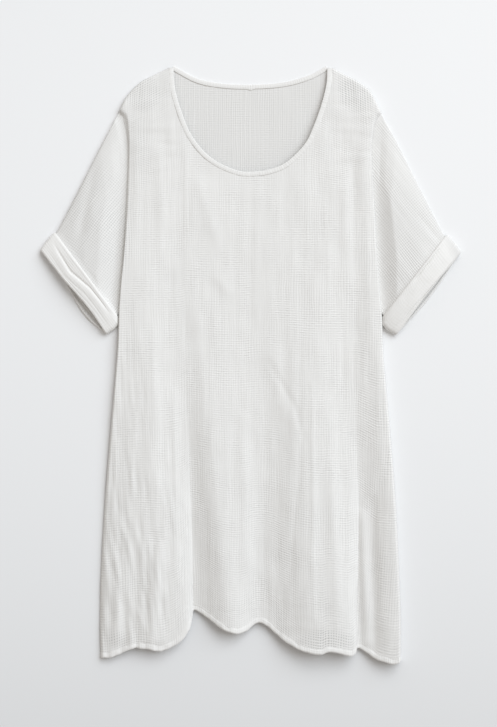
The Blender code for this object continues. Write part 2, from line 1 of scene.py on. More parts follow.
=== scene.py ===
"""Finish of a loose gauze dress that lies flat on its back: cloth shells, weave, binding, hems, stage.

Plans and heights below are in millimetres on the maker's plan, seen from above: X to the right, Y from
the hem to the neck, Z up from the surface. put_in_frame moves them into the model's frame in metres.
"""
import math

import bpy
import numpy as np
from bpy.props import FloatProperty, FloatVectorProperty, IntProperty, PointerProperty
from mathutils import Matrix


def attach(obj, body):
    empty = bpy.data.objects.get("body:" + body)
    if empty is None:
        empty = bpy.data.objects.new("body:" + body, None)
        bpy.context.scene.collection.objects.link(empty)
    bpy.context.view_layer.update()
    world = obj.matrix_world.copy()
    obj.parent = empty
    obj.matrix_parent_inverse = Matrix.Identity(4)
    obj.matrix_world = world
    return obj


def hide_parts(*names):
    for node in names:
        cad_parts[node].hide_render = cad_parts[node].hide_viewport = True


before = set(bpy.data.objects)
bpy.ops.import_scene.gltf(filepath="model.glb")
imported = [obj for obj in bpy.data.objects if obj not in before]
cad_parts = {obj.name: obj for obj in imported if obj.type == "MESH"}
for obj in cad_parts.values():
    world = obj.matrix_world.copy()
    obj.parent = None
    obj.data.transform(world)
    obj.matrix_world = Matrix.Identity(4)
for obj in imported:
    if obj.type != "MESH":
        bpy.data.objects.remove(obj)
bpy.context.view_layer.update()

bl_info = {
    "name": "Gauze Dress Finish",
    "version": (1, 0, 0),
    "blender": (4, 5, 0),
    "location": "View3D > Sidebar > Gauze Dress",
    "description": "Dresses the model of a flat gauze dress with woven cloth, hems, binding and a stage",
    "category": "Object",
}

# Point of the plan at the frame's origin; a millimetre in metres; name of the weave's coordinates
PLAN_CENTRE = (1.150, 0.355)
MM = 0.001
GRAIN = "grain"

# Points on a dense path, and the bend past which a mesh's edge shows as a sharp one
DENSE = 600
SHARPEST_BEND = math.radians(50.0)

# The photograph's frame: size of a pixel on the dress, pixels in its height, and the point of the
# plan and the level that the lens looks at, in millimetres; then the lens and its sensor
PIXEL = 1.544
FRAME_HEIGHT = 727
AIM = (-2.3, 1.5, 8.0)
LENS = 85.0
SENSOR = 36.0

# Stage: half width and level of the surface in metres, and colour of the light from all round
FLOOR_REACH = 4.0
FLOOR_LEVEL = -0.0002
SKY_COLOUR = (1.05, 1.0, 0.946, 1.0)

# Key light: height and turn in degrees, distance in metres, width in radians, colour; then the place
# and the size of the top light, in metres
KEY_RISE = 42.0
KEY_TURN = 42.0
KEY_DISTANCE = 1.5
KEY_ANGLE = 0.90
KEY_COLOUR = (0.92, 1.0, 1.08)
TOP_PLACE = (0.55, 1.7, 1.7)
TOP_SIZE = 1.2

# Outlines of the panels on the plan, each point X, Y
LEFT_SIDE = (
    (-231.1, -453.9), (-232.2, -394.5), (-231.1, -335.8), (-225.4, -223.1), (-216.2, -105.8),
    (-205.2, 22.4), (-202.9, 79.5), (-199.9, 121.2), (-194.9, 171.2), (-191.1, 254.0),
    (-188.4, 315.7), (-189.4, 346.6), (-194.5, 374.4), (-203.8, 389.9),
)
RIGHT_SIDE = (
    (233.1, -457.8), (233.5, -394.5), (231.6, -335.8), (226.2, -223.1), (217.7, -110.4),
    (206.0, 22.4), (204.6, 67.8), (201.6, 97.4), (197.9, 141.7), (191.9, 254.0),
    (188.4, 315.7), (189.1, 346.6), (194.5, 374.4), (203.8, 388.3),
)
LEFT_SHOULDER = (
    (-203.8, 389.9), (-191.5, 413.9), (-170.9, 435.7), (-151.3, 446.5), (-125.6, 458.9),
)
RIGHT_SHOULDER = (
    (126.6, 459.0), (143.6, 450.4), (168.9, 437.0), (186.8, 421.7), (203.8, 388.3),
)
NECKLINE = (
    (-125.5, 458.2), (-123.6, 430.0), (-116.0, 399.0), (-99.5, 356.0), (-77.0, 325.0),
    (-56.0, 308.0), (-34.0, 297.0), (-12.0, 290.6), (10.0, 290.6), (31.0, 294.0),
    (53.0, 302.0), (75.0, 319.0), (93.0, 340.2), (104.0, 363.8), (113.0, 387.5),
    (120.2, 411.0), (125.2, 434.7), (126.5, 458.2),
)
BACK_NECKLINE = (
    (-118.0, 462.0), (-81.0, 442.5), (-44.5, 435.0), (1.0, 433.0), (53.0, 437.0),
    (92.0, 448.0), (117.5, 461.5),
)
FRONT_HEM = (
    (-231.1, -453.9), (-217.7, -453.0), (-189.0, -442.0), (-174.5, -437.3), (-155.9, -438.3),
    (-137.0, -442.0), (-111.2, -429.7), (-96.0, -409.0), (-89.5, -386.0), (-86.5, -380.0),
    (-79.5, -382.0), (-66.4, -390.6), (-50.2, -402.5), (-34.7, -411.3), (-17.6, -414.6),
    (-4.6, -410.2), (6.2, -401.4), (15.4, -398.8), (27.8, -404.7), (40.9, -416.7),
    (58.7, -429.7), (77.2, -439.3), (108.9, -446.0), (121.2, -441.5), (135.9, -443.6),
    (153.5, -448.0), (161.0, -443.5), (168.0, -439.0), (179.1, -445.1), (191.5, -453.2),
    (206.9, -458.7), (222.3, -461.3), (233.1, -457.8),
)
BACK_HEM = (
    (-230.4, -440.0), (-180.0, -420.0), (-130.0, -418.0), (-85.0, -362.0), (-40.0, -376.0),
    (14.0, -382.0), (100.0, -422.0), (165.0, -422.0), (231.0, -443.0),
)

# The back's armhole: X, lowest and highest Y; and the underarm point
ARMHOLE_X = 185.9
ARMHOLE_LOW = 66.0
ARMHOLE_HIGH = 421.0
UNDERARM = (204.9, 58.0)

# The front's folds. Columns: Y, then X of crest_1, valley_1, crest_2, valley_2, crest_3, valley_3,
# crest_4
FOLD_PLACES = (
    (-445.0, -142.0, -88.0, -29.0, 11.0, 112.0, 164.0, 225.0),
    (-370.0, -140.0, -88.5, -33.0, 14.0, 106.0, 165.0, 225.0),
    (-223.0, -142.0, -91.0, -47.0, 22.0, 90.0, 168.0, 219.0),
    (-83.0, -156.0, -96.0, -62.0, 24.0, 92.0, 163.0, 208.0),
    (60.0, -170.0, -104.0, -76.0, 14.0, 104.0, 160.0, 191.0),
    (180.0, -168.0, -110.0, -80.0, 0.0, 118.0, 160.0, 182.0),
    (300.0, -170.0, -110.0, -80.0, 0.0, 120.0, 156.0, 176.0),
    (400.0, -165.0, -130.0, -80.0, 0.0, 80.0, 135.0, 170.0),
    (462.0, -118.0, -108.0, -60.0, 0.0, 60.0, 100.0, 116.0),
)
# Columns: Y, then height of left_edge, crest_1, valley_1, crest_2, valley_2, crest_3, valley_3,
# crest_4, right_edge
FOLD_HEIGHTS = (
    (-445.0, 8.0, 17.0, 6.2, 21.0, 8.5, 26.0, 6.4, 20.5, 20.5),
    (-370.0, 7.6, 17.0, 6.4, 20.5, 9.0, 25.0, 6.6, 19.5, 19.5),
    (-223.0, 8.5, 16.5, 7.2, 18.0, 9.4, 20.0, 7.0, 16.4, 16.0),
    (-83.0, 11.0, 14.5, 9.0, 14.5, 10.0, 16.0, 7.8, 14.0, 13.6),
    (60.0, 13.0, 14.0, 10.4, 12.0, 10.6, 13.5, 9.2, 12.6, 11.5),
    (180.0, 12.4, 12.8, 10.8, 11.4, 10.8, 12.5, 10.2, 12.4, 11.0),
    (300.0, 9.0, 11.0, 10.8, 10.8, 10.4, 11.4, 10.2, 12.0, 10.5),
    (400.0, 9.6, 10.0, 9.6, 9.0, 9.0, 9.0, 9.4, 9.4, 9.0),
    (462.0, 4.9, 5.0, 5.0, 5.0, 5.0, 5.0, 5.0, 5.0, 4.9),
)
# How crisp the cloth turns at left_edge, valley_1, valley_2, valley_3 and right_edge, 0 soft to 1
CRISP = (0.8, 0.15, 0.2, 0.15, 0.8)

# Smaller folds. Columns: X and Y of the start, X and Y of the end, height, half width
SMALL_FOLDS = (
    (-80.0, 282.0, -46.0, 175.0, 0.9, 9.0),
    (-55.0, 137.0, -32.0, 108.0, 0.8, 8.0),
    (30.0, 40.0, 46.0, -60.0, 0.9, 10.0),
    (46.0, -60.0, 80.0, -110.0, 0.5, 9.0),
    (-140.0, -280.0, -150.0, -425.0, 3.6, 9.0),
    (-203.0, -300.0, -206.0, -425.0, 2.6, 9.0),
    (172.0, -230.0, 181.0, -430.0, 3.4, 7.0),
    (188.0, -210.0, 195.0, -440.0, -2.4, 8.0),
    (-150.0, 60.0, -150.0, -230.0, 1.6, 11.0),
    (-12.0, -80.0, -3.0, -330.0, 1.8, 9.0),
    (122.0, -60.0, 134.0, -400.0, 2.0, 10.0),
    (146.0, 330.0, 150.0, 120.0, 1.4, 9.0),
    (-136.0, 330.0, -140.0, 160.0, 1.4, 9.0),
    (28.0, 6.0, 73.0, -73.0, -0.9, 4.5),
    (73.0, -73.0, 80.0, -112.0, -0.8, 4.0),
    (80.0, -112.0, 60.0, -337.0, -0.7, 4.5),
    (96.0, -30.0, 98.0, -390.0, 1.0, 4.0),
    (-205.0, -120.0, -214.0, -260.0, 1.0, 4.0),
    (-206.0, -225.0, -194.0, -270.0, 0.9, 3.0),
    (-216.0, -262.0, -203.0, -330.0, 1.0, 3.0),
    (-224.0, -290.0, -213.0, -380.0, 0.9, 3.0),
    (-192.0, -255.0, -178.0, -330.0, 1.0, 3.0),
    (-174.0, -260.0, -161.0, -350.0, 0.9, 3.0),
    (-145.0, -280.0, -138.0, -360.0, 0.9, 3.0),
    (-133.0, -305.0, -128.0, -390.0, 0.8, 3.0),
    (-174.0, -375.0, -160.0, -412.0, 0.9, 3.0),
    (-205.0, -340.0, -198.0, -425.0, 0.8, 3.0),
    (-176.0, -60.0, -190.0, -330.0, 1.0, 4.0),
    (-118.0, -40.0, -112.0, -260.0, 0.9, 4.0),
)

# Folds that end in a crisp lip over the valley to their right.
# Columns: column of the valley in FOLD_PLACES, rise of the lip at the hem, lean to the right there
LAPS = (
    (2, 9.0, 2.6),
    (6, 16.0, 2.6),
)

# Sleeve sections from the armhole to the cuff.
# Columns: X and Y at the underarm, X and Y at the shoulder edge, height
LEFT_SLEEVE = (
    (-186.2, 66.8, -186.2, 409.0, 4.5),
    (-190.0, 68.0, -204.0, 386.0, 6.0),
    (-193.0, 69.3, -216.0, 362.0, 11.0),
    (-196.0, 70.8, -231.6, 332.7, 15.0),
    (-198.8, 73.0, -256.0, 284.0, 17.5),
    (-201.6, 76.4, -281.0, 234.5, 17.5),
    (-203.4, 79.8, -295.5, 206.5, 16.0),
)
RIGHT_SLEEVE = (
    (186.2, 66.8, 186.2, 407.0, 4.5),
    (190.0, 68.0, 204.5, 383.5, 6.0),
    (193.0, 69.3, 214.0, 366.0, 10.0),
    (196.0, 70.8, 226.5, 344.0, 13.0),
    (198.8, 73.0, 252.0, 292.0, 14.5),
    (201.8, 76.4, 282.0, 233.0, 15.0),
    (203.6, 79.4, 298.0, 202.0, 15.0),
)
# Cuff sections from the turned-up edge to the opening.
# Columns: X and Y at the underarm end, X and Y at the shoulder end
LEFT_CUFF = (
    (-204.4, 75.0, -300.0, 203.0),
    (-204.8, 63.4, -307.5, 196.0),
    (-211.8, 55.8, -315.0, 186.5),
    (-221.0, 50.0, -321.0, 178.0),
    (-223.5, 48.6, -322.7, 175.2),
)
RIGHT_CUFF = (
    (205.6, 75.0, 303.0, 199.5),
    (206.0, 62.8, 310.0, 192.0),
    (213.4, 54.8, 318.0, 182.0),
    (225.0, 48.4, 323.5, 174.5),
    (228.0, 47.4, 325.0, 171.8),
)
# Section along a cuff: place in the tables above, then how far its outer and its inner face lie inside
# the full form
CUFF_PROFILE = (
    (0.00, 1.2, 2.2), (0.06, 0.7, 2.5), (0.18, 0.3, 2.6), (0.4, 0.05, 2.6), (1.0, 0.0, 2.6),
    (1.5, 0.0, 2.6), (2.0, 0.0, 2.6), (2.5, 0.0, 2.6), (2.8, 0.0, 2.6), (3.2, 0.0, 3.6),
    (3.5, 0.15, 3.8), (3.75, 0.6, 3.7), (3.9, 1.2, 3.4), (4.0, 1.9, 2.9),
)

# Creases along the cuffs. Columns: depth in the band at the underarm end, at 0.4 and 0.65 of the
# length and at the shoulder end, share of the length where it starts, where it ends, half width, height
LEFT_CUFF_CREASES = (
    (0.30, 0.30, 0.30, 0.30, 0.0, 1.0, 0.22, 0.4),
    (0.95, 1.05, 1.75, 1.00, 0.10, 0.97, 0.16, -1.3),
    (1.60, 1.60, 2.25, 1.70, 0.0, 1.0, 0.40, 0.6),
    (2.30, 2.30, 2.75, 2.40, 0.0, 1.0, 0.10, -0.4),
    (2.75, 2.75, 3.05, 2.80, 0.0, 1.0, 0.10, -0.4),
    (3.15, 3.15, 3.35, 3.20, 0.0, 1.0, 0.10, -0.4),
)
RIGHT_CUFF_CREASES = (
    (0.30, 0.30, 0.27, 0.25, 0.0, 1.0, 0.22, 0.5),
    (0.60, 0.55, 0.50, 0.45, 0.45, 0.97, 0.10, -2.0),
    (2.60, 3.00, 3.25, 3.50, 0.05, 1.0, 0.12, -1.4),
    (2.30, 2.65, 2.95, 3.20, 0.05, 0.9, 0.30, 0.45),
    (1.50, 1.20, 1.05, 0.90, 0.0, 0.5, 0.30, -0.3),
)
CREASE_SHARES = (0.0, 0.4, 0.65, 1.0)

# Height of a cuff in its middle and at its folded ends, height of a sleeve's folded ends, the cuff's
# fall from row to row, and how far its lower layer reaches out at the opening
CUFF_HEIGHT = 20.0
CUFF_EDGE_HEIGHT = 9.0
SLEEVE_EDGE_HEIGHT = {"left": 7.0, "right": 4.0}
CUFF_SLOPE = 0.9
LOWER_LAYER_REACH = {"left": 8.0, "right": 5.0}

# Share of the length over which the lower layer of the left tubes bows out
LEFT_BOW_END = 0.68

# How deep the sleeve lies inside the cuff, and at which row of the cuff it ends
SLEEVE_IN_CUFF = 2.7
SLEEVE_END_ROW = 2.7

# Direction on the plan at right angles to the right sleeve's top edge
RIGHT_OUTWARD = (0.893, 0.45)

# Height of a sleeve under the front's armhole edge, how far the front sinks into that seam, and how
# much and over what width the sleeve may rise beside it
SEAM_HEIGHT = 4.5
SEAM_SINK = 0.6
SEAM_RISE = 12.0
SEAM_RISE_WIDTH = 40.0

# Steps across each layer of a tube and round each of its folds
TUBE_STEPS = 84
TUBE_FOLD_STEPS = 8

# Bulge of a tube's folds as a share of their half height, the most that it may be, and the part of the
# lower layer's bow by which the upper one draws back
FOLD_BULGE = 0.53
MOST_BULGE = 2.4
DRAW_BACK = 0.4

# The front's edge: gap to what lies under it, radius of its rounding, and what the lower left and the
# stretch beside an arm add to the radius
EDGE_GAP = 0.2
EDGE_RADIUS = 4.5
EDGE_WIDER_LOW = 5.5
EDGE_WIDER_BY_ARM = 12.0

# Rows of points on each side of a row over which the way across the folds is evened out
EVENING = 15

# Section of the front's hem: share of its width from the outer edge, height over the front's cloth
HEM_PROFILE = (
    (0.0, -0.9), (0.03, -0.3), (0.09, 0.2), (0.18, 0.6), (0.30, 0.75), (0.44, 0.7), (0.58, 0.55),
    (0.72, 0.45), (0.80, 0.1), (0.86, 0.05), (0.93, 0.3), (1.0, 0.1),
)

# How far the front hem's lower face lies under the front's cloth, its least height and its least wall
HEM_DEPTH = 1.25
HEM_LOWEST = 0.05
HEM_WALL = 0.25

# Uneven waves of the cloth. Columns: cell across, cell along, height, seed and, where the cells are
# turned, the turn in radians. The hem's puckers end at a share of its width
CRINKLES = {
    "upright": ((5.5, 60.0, 0.22, 1), (11.0, 110.0, 0.30, 2)),
    "dents": ((26.0, 44.0, 0.45, 3, 0.3), (15.0, 22.0, 0.28, 4, -0.4)),
    "across": ((38.0, 7.0, 0.40, 5, 0.1), (60.0, 4.5, 0.26, 6, -0.08)),
    "slanted": ((6.0, 38.0, 0.75, 7, 0.14), (11.0, 30.0, 0.55, 8, -0.12)),
    "closer": ((5.0, 42.0, 0.55, 9, 0.05),),
}
CUFF_DENTS = ((15.0, 15.0, 0.35, 49), (5.0, 5.0, 0.08, 48))
HEM_LUMPS = ((4.0, 9.0, 0.35, 75), (7.0, 9.0, 0.6, 73), (17.0, 9.0, 0.6, 74))
HEM_PUCKERS = ((4.6, 9.0, 0.28, 71), (11.0, 14.0, 0.42, 72))
HEM_PUCKER_END = 0.9

# How far the front's cloth runs in under its hem, the back binding's width, how far the back lies
# inside the front's edge, and how much narrower its hem is
HEM_OVERLAP = 1.5
BACK_BINDING = 7.0
BACK_INSET = 3.2
BACK_NARROWER = 0.985

# Steps along the neck binding and across it, least height of the folds that its front stretch
# follows, and how far its middle lies under them
NECK_STEPS = 360
BINDING_STEPS = 13
BINDING_LEAST = 4.9
BINDING_SINK = 0.35

# Height of the back's upper face, the least that its waves leave of it, the X where its shoulders
# meet the binding, and the gap that the flat bands keep to the surface
BACK_HEIGHT = 1.1
BACK_LEAST = 0.6
BACK_SHOULDER_END = 134.0
SURFACE_GAP = 0.02

# Shares across the front and the back where the shoulders meet the neck, and up the back's side where
# the underarm's notch starts and ends
FRONT_BREAKS = (0.0, 0.19, 0.81, 1.0)
BACK_BREAKS = (0.0, 0.17, 0.83, 1.0)
BACK_SIDE_BREAKS = (0.0, 0.56, 0.6, 1.0)

# Finish of each kind of cloth: even cords, uneven streaks, threads across, broad ribs, depth of the
# relief in metres, contrast of the painted shade and light that the weave's height puts into the colour,
# strength of the painted shade in the holes, warp spacing and brightness as shares of the settings;
# the back's lower brightness is painted shade, as it lies down inside the neck
CLOTHS = {
    "front": (0.50, 0.60, 0.85, 0.0, 0.00010, 0.046, 0.9, 0.90, 1.0),
    "back": (0.60, 0.10, 0.60, 0.30, 0.00008, 0.056, 0.2, 0.80, 0.935),
    "sleeve": (0.90, 0.45, 0.50, 0.0, 0.00011, 0.054, 0.6, 0.78, 0.985),
    "cuff": (0.35, 0.30, 0.55, 0.0, 0.00012, 0.036, 0.1, 1.0, 1.06),
    "band": (0.55, 0.35, 0.45, 0.0, 0.00012, 0.036, 0.0, 0.90, 1.02),
}

# Inputs of the weave that the first four columns of CLOTHS set, and the spacing of its ribs in metres
WEAVE_SHARES = ("Cords", "Streaks", "Threads", "Ribs")
RIB_SPACING = 0.0066

# Painted shade on the outer rims of the right sleeve and its cuff, where they face the key light: where
# they start along RIGHT_OUTWARD and their width, in metres, and how much darker they are
RIM_START = 0.349
RIM_WIDTH = 0.012
RIM_SHADE = -0.13

# Share of the weave's slow tone in the colour
TONE_SHARE = 0.045

# Where the weave stands open, its gaps taking the painted shade of the hole colour: middle X and Y, half
# width and half height in metres, strength
OPEN_PLACES = (
    (-0.166, 0.418, 0.030, 0.032, 1.0),
    (0.164, 0.418, 0.034, 0.032, 0.9),
    (0.115, -0.424, 0.048, 0.018, 0.9),
    (-0.205, -0.425, 0.022, 0.016, 0.6),
    (-0.170, 0.330, 0.022, 0.060, 0.30),
    (-0.235, 0.215, 0.060, 0.110, 0.80),
    (0.245, 0.200, 0.060, 0.100, 0.45),
)


class GauzeDressSettings(bpy.types.PropertyGroup):
    """Sizes and colours of the finish."""

    cloth: FloatProperty(
        name="Cloth", description="Thickness of one layer of gauze", default=0.0009,
        min=0.0003, max=0.002, subtype="DISTANCE", unit="LENGTH")
    binding_width: FloatProperty(
        name="Binding width", description="Width of the folded neck binding", default=0.0070,
        subtype="DISTANCE", unit="LENGTH")
    hem_width: FloatProperty(
        name="Hem width", description="Width of the rolled hems", default=0.0090,
        subtype="DISTANCE", unit="LENGTH")
    warp: FloatProperty(
        name="Warp spacing", description="Distance between the long cords of the weave",
        default=0.0043, subtype="DISTANCE", unit="LENGTH")
    weft: FloatProperty(
        name="Weft spacing", description="Distance between the cross cords of the weave",
        default=0.0036, subtype="DISTANCE", unit="LENGTH")
    columns: IntProperty(
        name="Columns", description="Even steps across the front panel", default=176, min=40, max=400)
    rows: IntProperty(
        name="Rows", description="Even steps along the front panel", default=226, min=40, max=400)
    cotton: FloatVectorProperty(
        name="Cotton", description="Colour of the gauze", subtype="COLOR",
        default=(0.768, 0.757, 0.738), min=0.0, max=1.0)
    # Painted shade: the colour of the shaded cloth and surface that show through the gaps of the weave
    shade: FloatVectorProperty(
        name="Holes", description="Colour between the threads", subtype="COLOR",
        default=(0.46, 0.46, 0.45), min=0.0, max=1.0)
    floor: FloatVectorProperty(
        name="Floor", description="Colour of the surface under the dress", subtype="COLOR",
        default=(0.822, 0.822, 0.824), min=0.0, max=1.0)
    key_light: FloatProperty(
        name="Key light", description="Strength of the soft light from the upper right", default=2.10)
    top_light: FloatProperty(
        name="Top light", description="Power of the wide light beyond the neck", default=10.0,
        unit="POWER")
    sky_light: FloatProperty(
        name="Sky light", description="Strength of the light from all round", default=0.46)


def settings():
    """Sizes and colours of the finish in this scene."""
    return bpy.context.scene.gauze_dress


def dense_path(points, count=DENSE):
    """Cubic path through the points; the slope at each is that between its neighbours."""
    points = np.asarray(points, dtype=float)
    knots = np.concatenate(([0.0], np.cumsum(np.linalg.norm(np.diff(points, axis=0), axis=1))))
    slopes = np.empty_like(points)
    slopes[1:-1] = (points[2:] - points[:-2]) / (knots[2:] - knots[:-2])[:, None]
    slopes[0] = (points[1] - points[0]) / (knots[1] - knots[0])
    slopes[-1] = (points[-1] - points[-2]) / (knots[-1] - knots[-2])
    return hermite(knots, points, slopes, np.linspace(0.0, knots[-1], count))


def hermite(knots, values, slopes, places):
    """Cubic between knots: each value and slope fades into the next one."""
    index = np.clip(np.searchsorted(knots, places, side="right") - 1, 0, len(knots) - 2)
    span = (knots[index + 1] - knots[index])[..., None]
    t = (places - knots[index])[..., None] / span
    return (
        (2 * t**3 - 3 * t**2 + 1) * values[index] + (t**3 - 2 * t**2 + t) * span * slopes[index]
        + (3 * t**2 - 2 * t**3) * values[index + 1] + (t**3 - t**2) * span * slopes[index + 1]
    )


def smooth_rows(table, y):
    """Columns of a table at level y, on a cubic through its rows."""
    rows = np.asarray(table, dtype=float)
    slopes = np.gradient(rows[:, 1:], rows[:, 0], axis=0)
    return hermite(rows[:, 0], rows[:, 1:], slopes, np.clip(y, rows[0, 0], rows[-1, 0]))


def lengths_of(path):
    """Length of a path up to each of its points."""
    return np.concatenate(([0.0], np.cumsum(np.linalg.norm(np.diff(path, axis=0), axis=1))))


def at_share(path, share, measured_on=None):
    """Points of a path at shares of its length, or of that of the path it was moved from."""
    lengths = lengths_of(path if measured_on is None else measured_on)
    places = np.asarray(share) * lengths[-1]
    return np.stack([np.interp(places, lengths, path[:, k]) for k in range(path.shape[1])], axis=-1)


def moved_out(path, distance):
    """The path moved to the left of its direction."""
    ahead = np.gradient(path, axis=0)
    ahead /= np.linalg.norm(ahead, axis=1)[:, None]
    aside = np.stack([-ahead[:, 1], ahead[:, 0]], axis=-1)
    return path + distance * aside


def joined(parts, breaks, share):
    """One edge made of several paths, each one filling the stretch between two breaks."""
    points = np.empty((len(share), 2))
    for (part, measured_on), start, end in zip(parts, breaks[:-1], breaks[1:]):
        inside = (share >= start - 1e-6) & (share <= end + 1e-6)
        points[inside] = at_share(part, (share[inside] - start) / (end - start), measured_on)
    return points


def patch(bottom, top, left, right, u, v, side_share=0.17):
    """Surface spanned by four edges: straight runs from bottom to top, bent near the two sides."""
    u = u[:, None, None]
    v = v[None, :, None]
    runs = (1 - v) * bottom[:, None] + v * top[:, None]
    left_bow = left[None] - ((1 - v) * bottom[0] + v * top[0])
    right_bow = right[None] - ((1 - v) * bottom[-1] + v * top[-1])
    near_left = np.clip(1.0 - u / side_share, 0.0, 1.0) ** 2
    near_right = np.clip(1.0 - (1.0 - u) / side_share, 0.0, 1.0) ** 2
    return runs + near_left * left_bow + near_right * right_bow


def noises(x, y, table):
    """Sum of smooth noises, one for each row of a table of waves."""
    return sum(
        height * noise(x, y, across, along, seed, *turn)
        for across, along, height, seed, *turn in table)


def noise(x, y, cell_x, cell_y, seed, turn=0.0):
    """Smooth noise from -1 to 1: random values on a grid of cells, blended by a smooth step."""
    table = np.random.default_rng(seed).uniform(-1.0, 1.0, (128, 128))
    across = (x * math.cos(turn) + y * math.sin(turn)) / cell_x + 5000.0
    along = (y * math.cos(turn) - x * math.sin(turn)) / cell_y + 5000.0
    i, j = np.floor(across).astype(int), np.floor(along).astype(int)
    s, t = across - i, along - j
    s, t = s * s * (3 - 2 * s), t * t * (3 - 2 * t)
    i0, i1, j0, j1 = i % 128, (i + 1) % 128, j % 128, (j + 1) % 128
    low = table[i0, j0] * (1 - s) + table[i1, j0] * s
    high = table[i0, j1] * (1 - s) + table[i1, j1] * s
    return low * (1 - t) + high * t


def ramp(value, start, end):
    """Smooth step from 0 at start to 1 at end."""
    t = np.clip((value - start) / (end - start), 0.0, 1.0)
    return t * t * (3 - 2 * t)


def front_edges(y):
    """X of the front's left and right edge at level y, shoulders included."""
    edges = []
    for side, shoulder in ((LEFT_SIDE, LEFT_SHOULDER), (RIGHT_SIDE, RIGHT_SHOULDER)):
        edge = np.concatenate([dense_path(side), dense_path(shoulder)])
        edge = edge[np.argsort(edge[:, 1])]
        edges.append(np.interp(y, edge[:, 1], edge[:, 0]))
    return edges


def fold_height(x, y):
    """Height of the front's large and small folds: between a low line and a crest the cloth rises
    by a blend of a sine and a smooth step; small folds are rounded ridges along straight lines."""
    left, right = front_edges(y)
    places = smooth_rows(FOLD_PLACES, y)
    places = np.concatenate([left[..., None], places, right[..., None]], axis=-1)
    heights = smooth_rows(FOLD_HEIGHTS, y)
    height = np.where(x < 0, heights[..., 0], heights[..., -1])
    for k in range(places.shape[-1] - 1):
        low, crest = (k, k + 1) if k % 2 == 0 else (k + 1, k)
        t = np.clip((x - places[..., low]) / (places[..., crest] - places[..., low]), 0.0, 1.0)
        crisp = CRISP[low // 2]
        rise = crisp * np.sin(0.5 * np.pi * t) + (1 - crisp) * t * t * (3 - 2 * t)
        folded = heights[..., low] + (heights[..., crest] - heights[..., low]) * rise
        here = (x >= places[..., k]) & (x <= places[..., k + 1])
        height = np.where(here, folded, height)
    near_edge = np.clip(np.minimum(x - left, right - x) / 12.0, 0.0, 1.0)
    for x1, y1, x2, y2, rise, half_width in SMALL_FOLDS:
        run = np.array([x2 - x1, y2 - y1])
        t = ((x - x1) * run[0] + (y - y1) * run[1]) / (run @ run)
        beside = np.hypot(x - x1 - np.clip(t, 0, 1) * run[0], y - y1 - np.clip(t, 0, 1) * run[1])
        fade = np.sin(np.pi * np.clip(0.08 + 0.84 * t, 0.0, 1.0)) ** 0.5
        height = height + near_edge * rise * fade * np.exp(-(beside / half_width) ** 2)
    return height


def crinkle(x, y):
    """Uneven crinkles of the gauze, a sum of waves: long upright ones and soft dents all over, ripples
    across the shoulders and the hem, slanted ones at the lower left, closer ones at the left."""
    lower_left = ramp(-x, 60.0, 150.0) * ramp(-y, 60.0, 260.0)
    left_side = ramp(-x, 100.0, 170.0) * ramp(-y, -120.0, 60.0)
    shoulders = ramp(y, 260.0, 330.0) * ramp(np.abs(x), 95.0, 130.0)
    near_hem = ramp(-y, 330.0, 440.0)
    upright, dents, across, slanted, closer = (noises(x, y, waves) for waves in CRINKLES.values())
    return (
        upright + dents + across * (shoulders + 0.7 * near_hem)
        + 1.1 * slanted * lower_left + closer * left_side
    )


def lap_over(x, y, z):
    """Cloth left of a crisp valley stands up like a step and leans over it near the hem: step and
    lean grow as one less an exponential of the distance, and fade towards the crest. The step is
    softer further up."""
    places = smooth_rows(FOLD_PLACES, y)
    softness = 2.2 + 7.0 * (1.0 - ramp(-y, 330.0, 430.0))
    for column, rise, lean in LAPS:
        crest, valley = places[..., column - 2], places[..., column - 1]
        away = np.clip(valley - x, 0.0, None)
        fade = 1.0 - ramp(away / (valley - crest), 0.08, 1.0)
        step = (1.0 - np.exp(-away / softness)) * fade
        z = z + rise * ramp(-y, 20.0, 450.0) ** 1.2 * step
        tilt = (1.0 - np.exp(-away / 1.2)) * (1.0 - ramp(away, 3.0, 34.0))
        x = x + lean * ramp(-y, 200.0, 430.0) * tilt
    return x, z


def put_in_frame(points):
    """From millimetres on the plan to metres in the model's frame."""
    return (points - np.array([PLAN_CENTRE[0], PLAN_CENTRE[1], 0.0])) * MM


def cells(rows, columns, closed):
    """Corner numbers of each cell of a grid, counted along its second parameter first."""
    i = np.arange(rows if closed else rows - 1)
    j = np.arange(columns - 1)
    a = (i * columns)[:, None] + j
    b = ((i + 1) % rows * columns)[:, None] + j
    return np.stack([a, b, b + 1, a + 1], axis=-1).reshape(-1, 4)


def rim_cells(rows, columns, closed, under):
    """Cells that close a wall between an upper grid and the same grid under it, along its edges."""
    i = np.arange(rows if closed else rows - 1)
    rims = []
    for j, turned in ((0, False), (columns - 1, True)):
        a = i * columns + j
        b = (i + 1) % rows * columns + j
        rim = np.stack([b, a, under + a, under + b], axis=-1)
        rims.append(rim[:, ::-1] if turned else rim)
    if not closed:
        j = np.arange(columns - 1)
        for row, turned in ((0, False), (rows - 1, True)):
            a = row * columns + j
            rim = np.stack([a, a + 1, under + a + 1, under + a], axis=-1)
            rims.append(rim[:, ::-1] if turned else rim)
    return np.concatenate(rims)


def add_shell(name, upper, lower, grain, closed, material, slot, nodes=()):
    """A closed wall of cloth between two grids of points, with the weave's own coordinates."""
    rows, columns = upper.shape[:2]
    under = rows * columns
    top = cells(rows, columns, closed)
    faces = np.concatenate([top, top[:, ::-1] + under, rim_cells(rows, columns, closed, under)])
    points = put_in_frame(np.concatenate([upper.reshape(-1, 3), lower.reshape(-1, 3)]))
    corner = points[faces]
    volume = np.einsum("ij,ij->i", corner[:, 0], np.cross(corner[:, 1], corner[:, 2])).sum()
    volume += np.einsum("ij,ij->i", corner[:, 0], np.cross(corner[:, 2], corner[:, 3])).sum()
    if volume < 0.0:
        faces = faces[:, ::-1]
    return add_mesh(name, points, faces, np.tile(grain.reshape(-1, 2), (2, 1)), material, nodes)


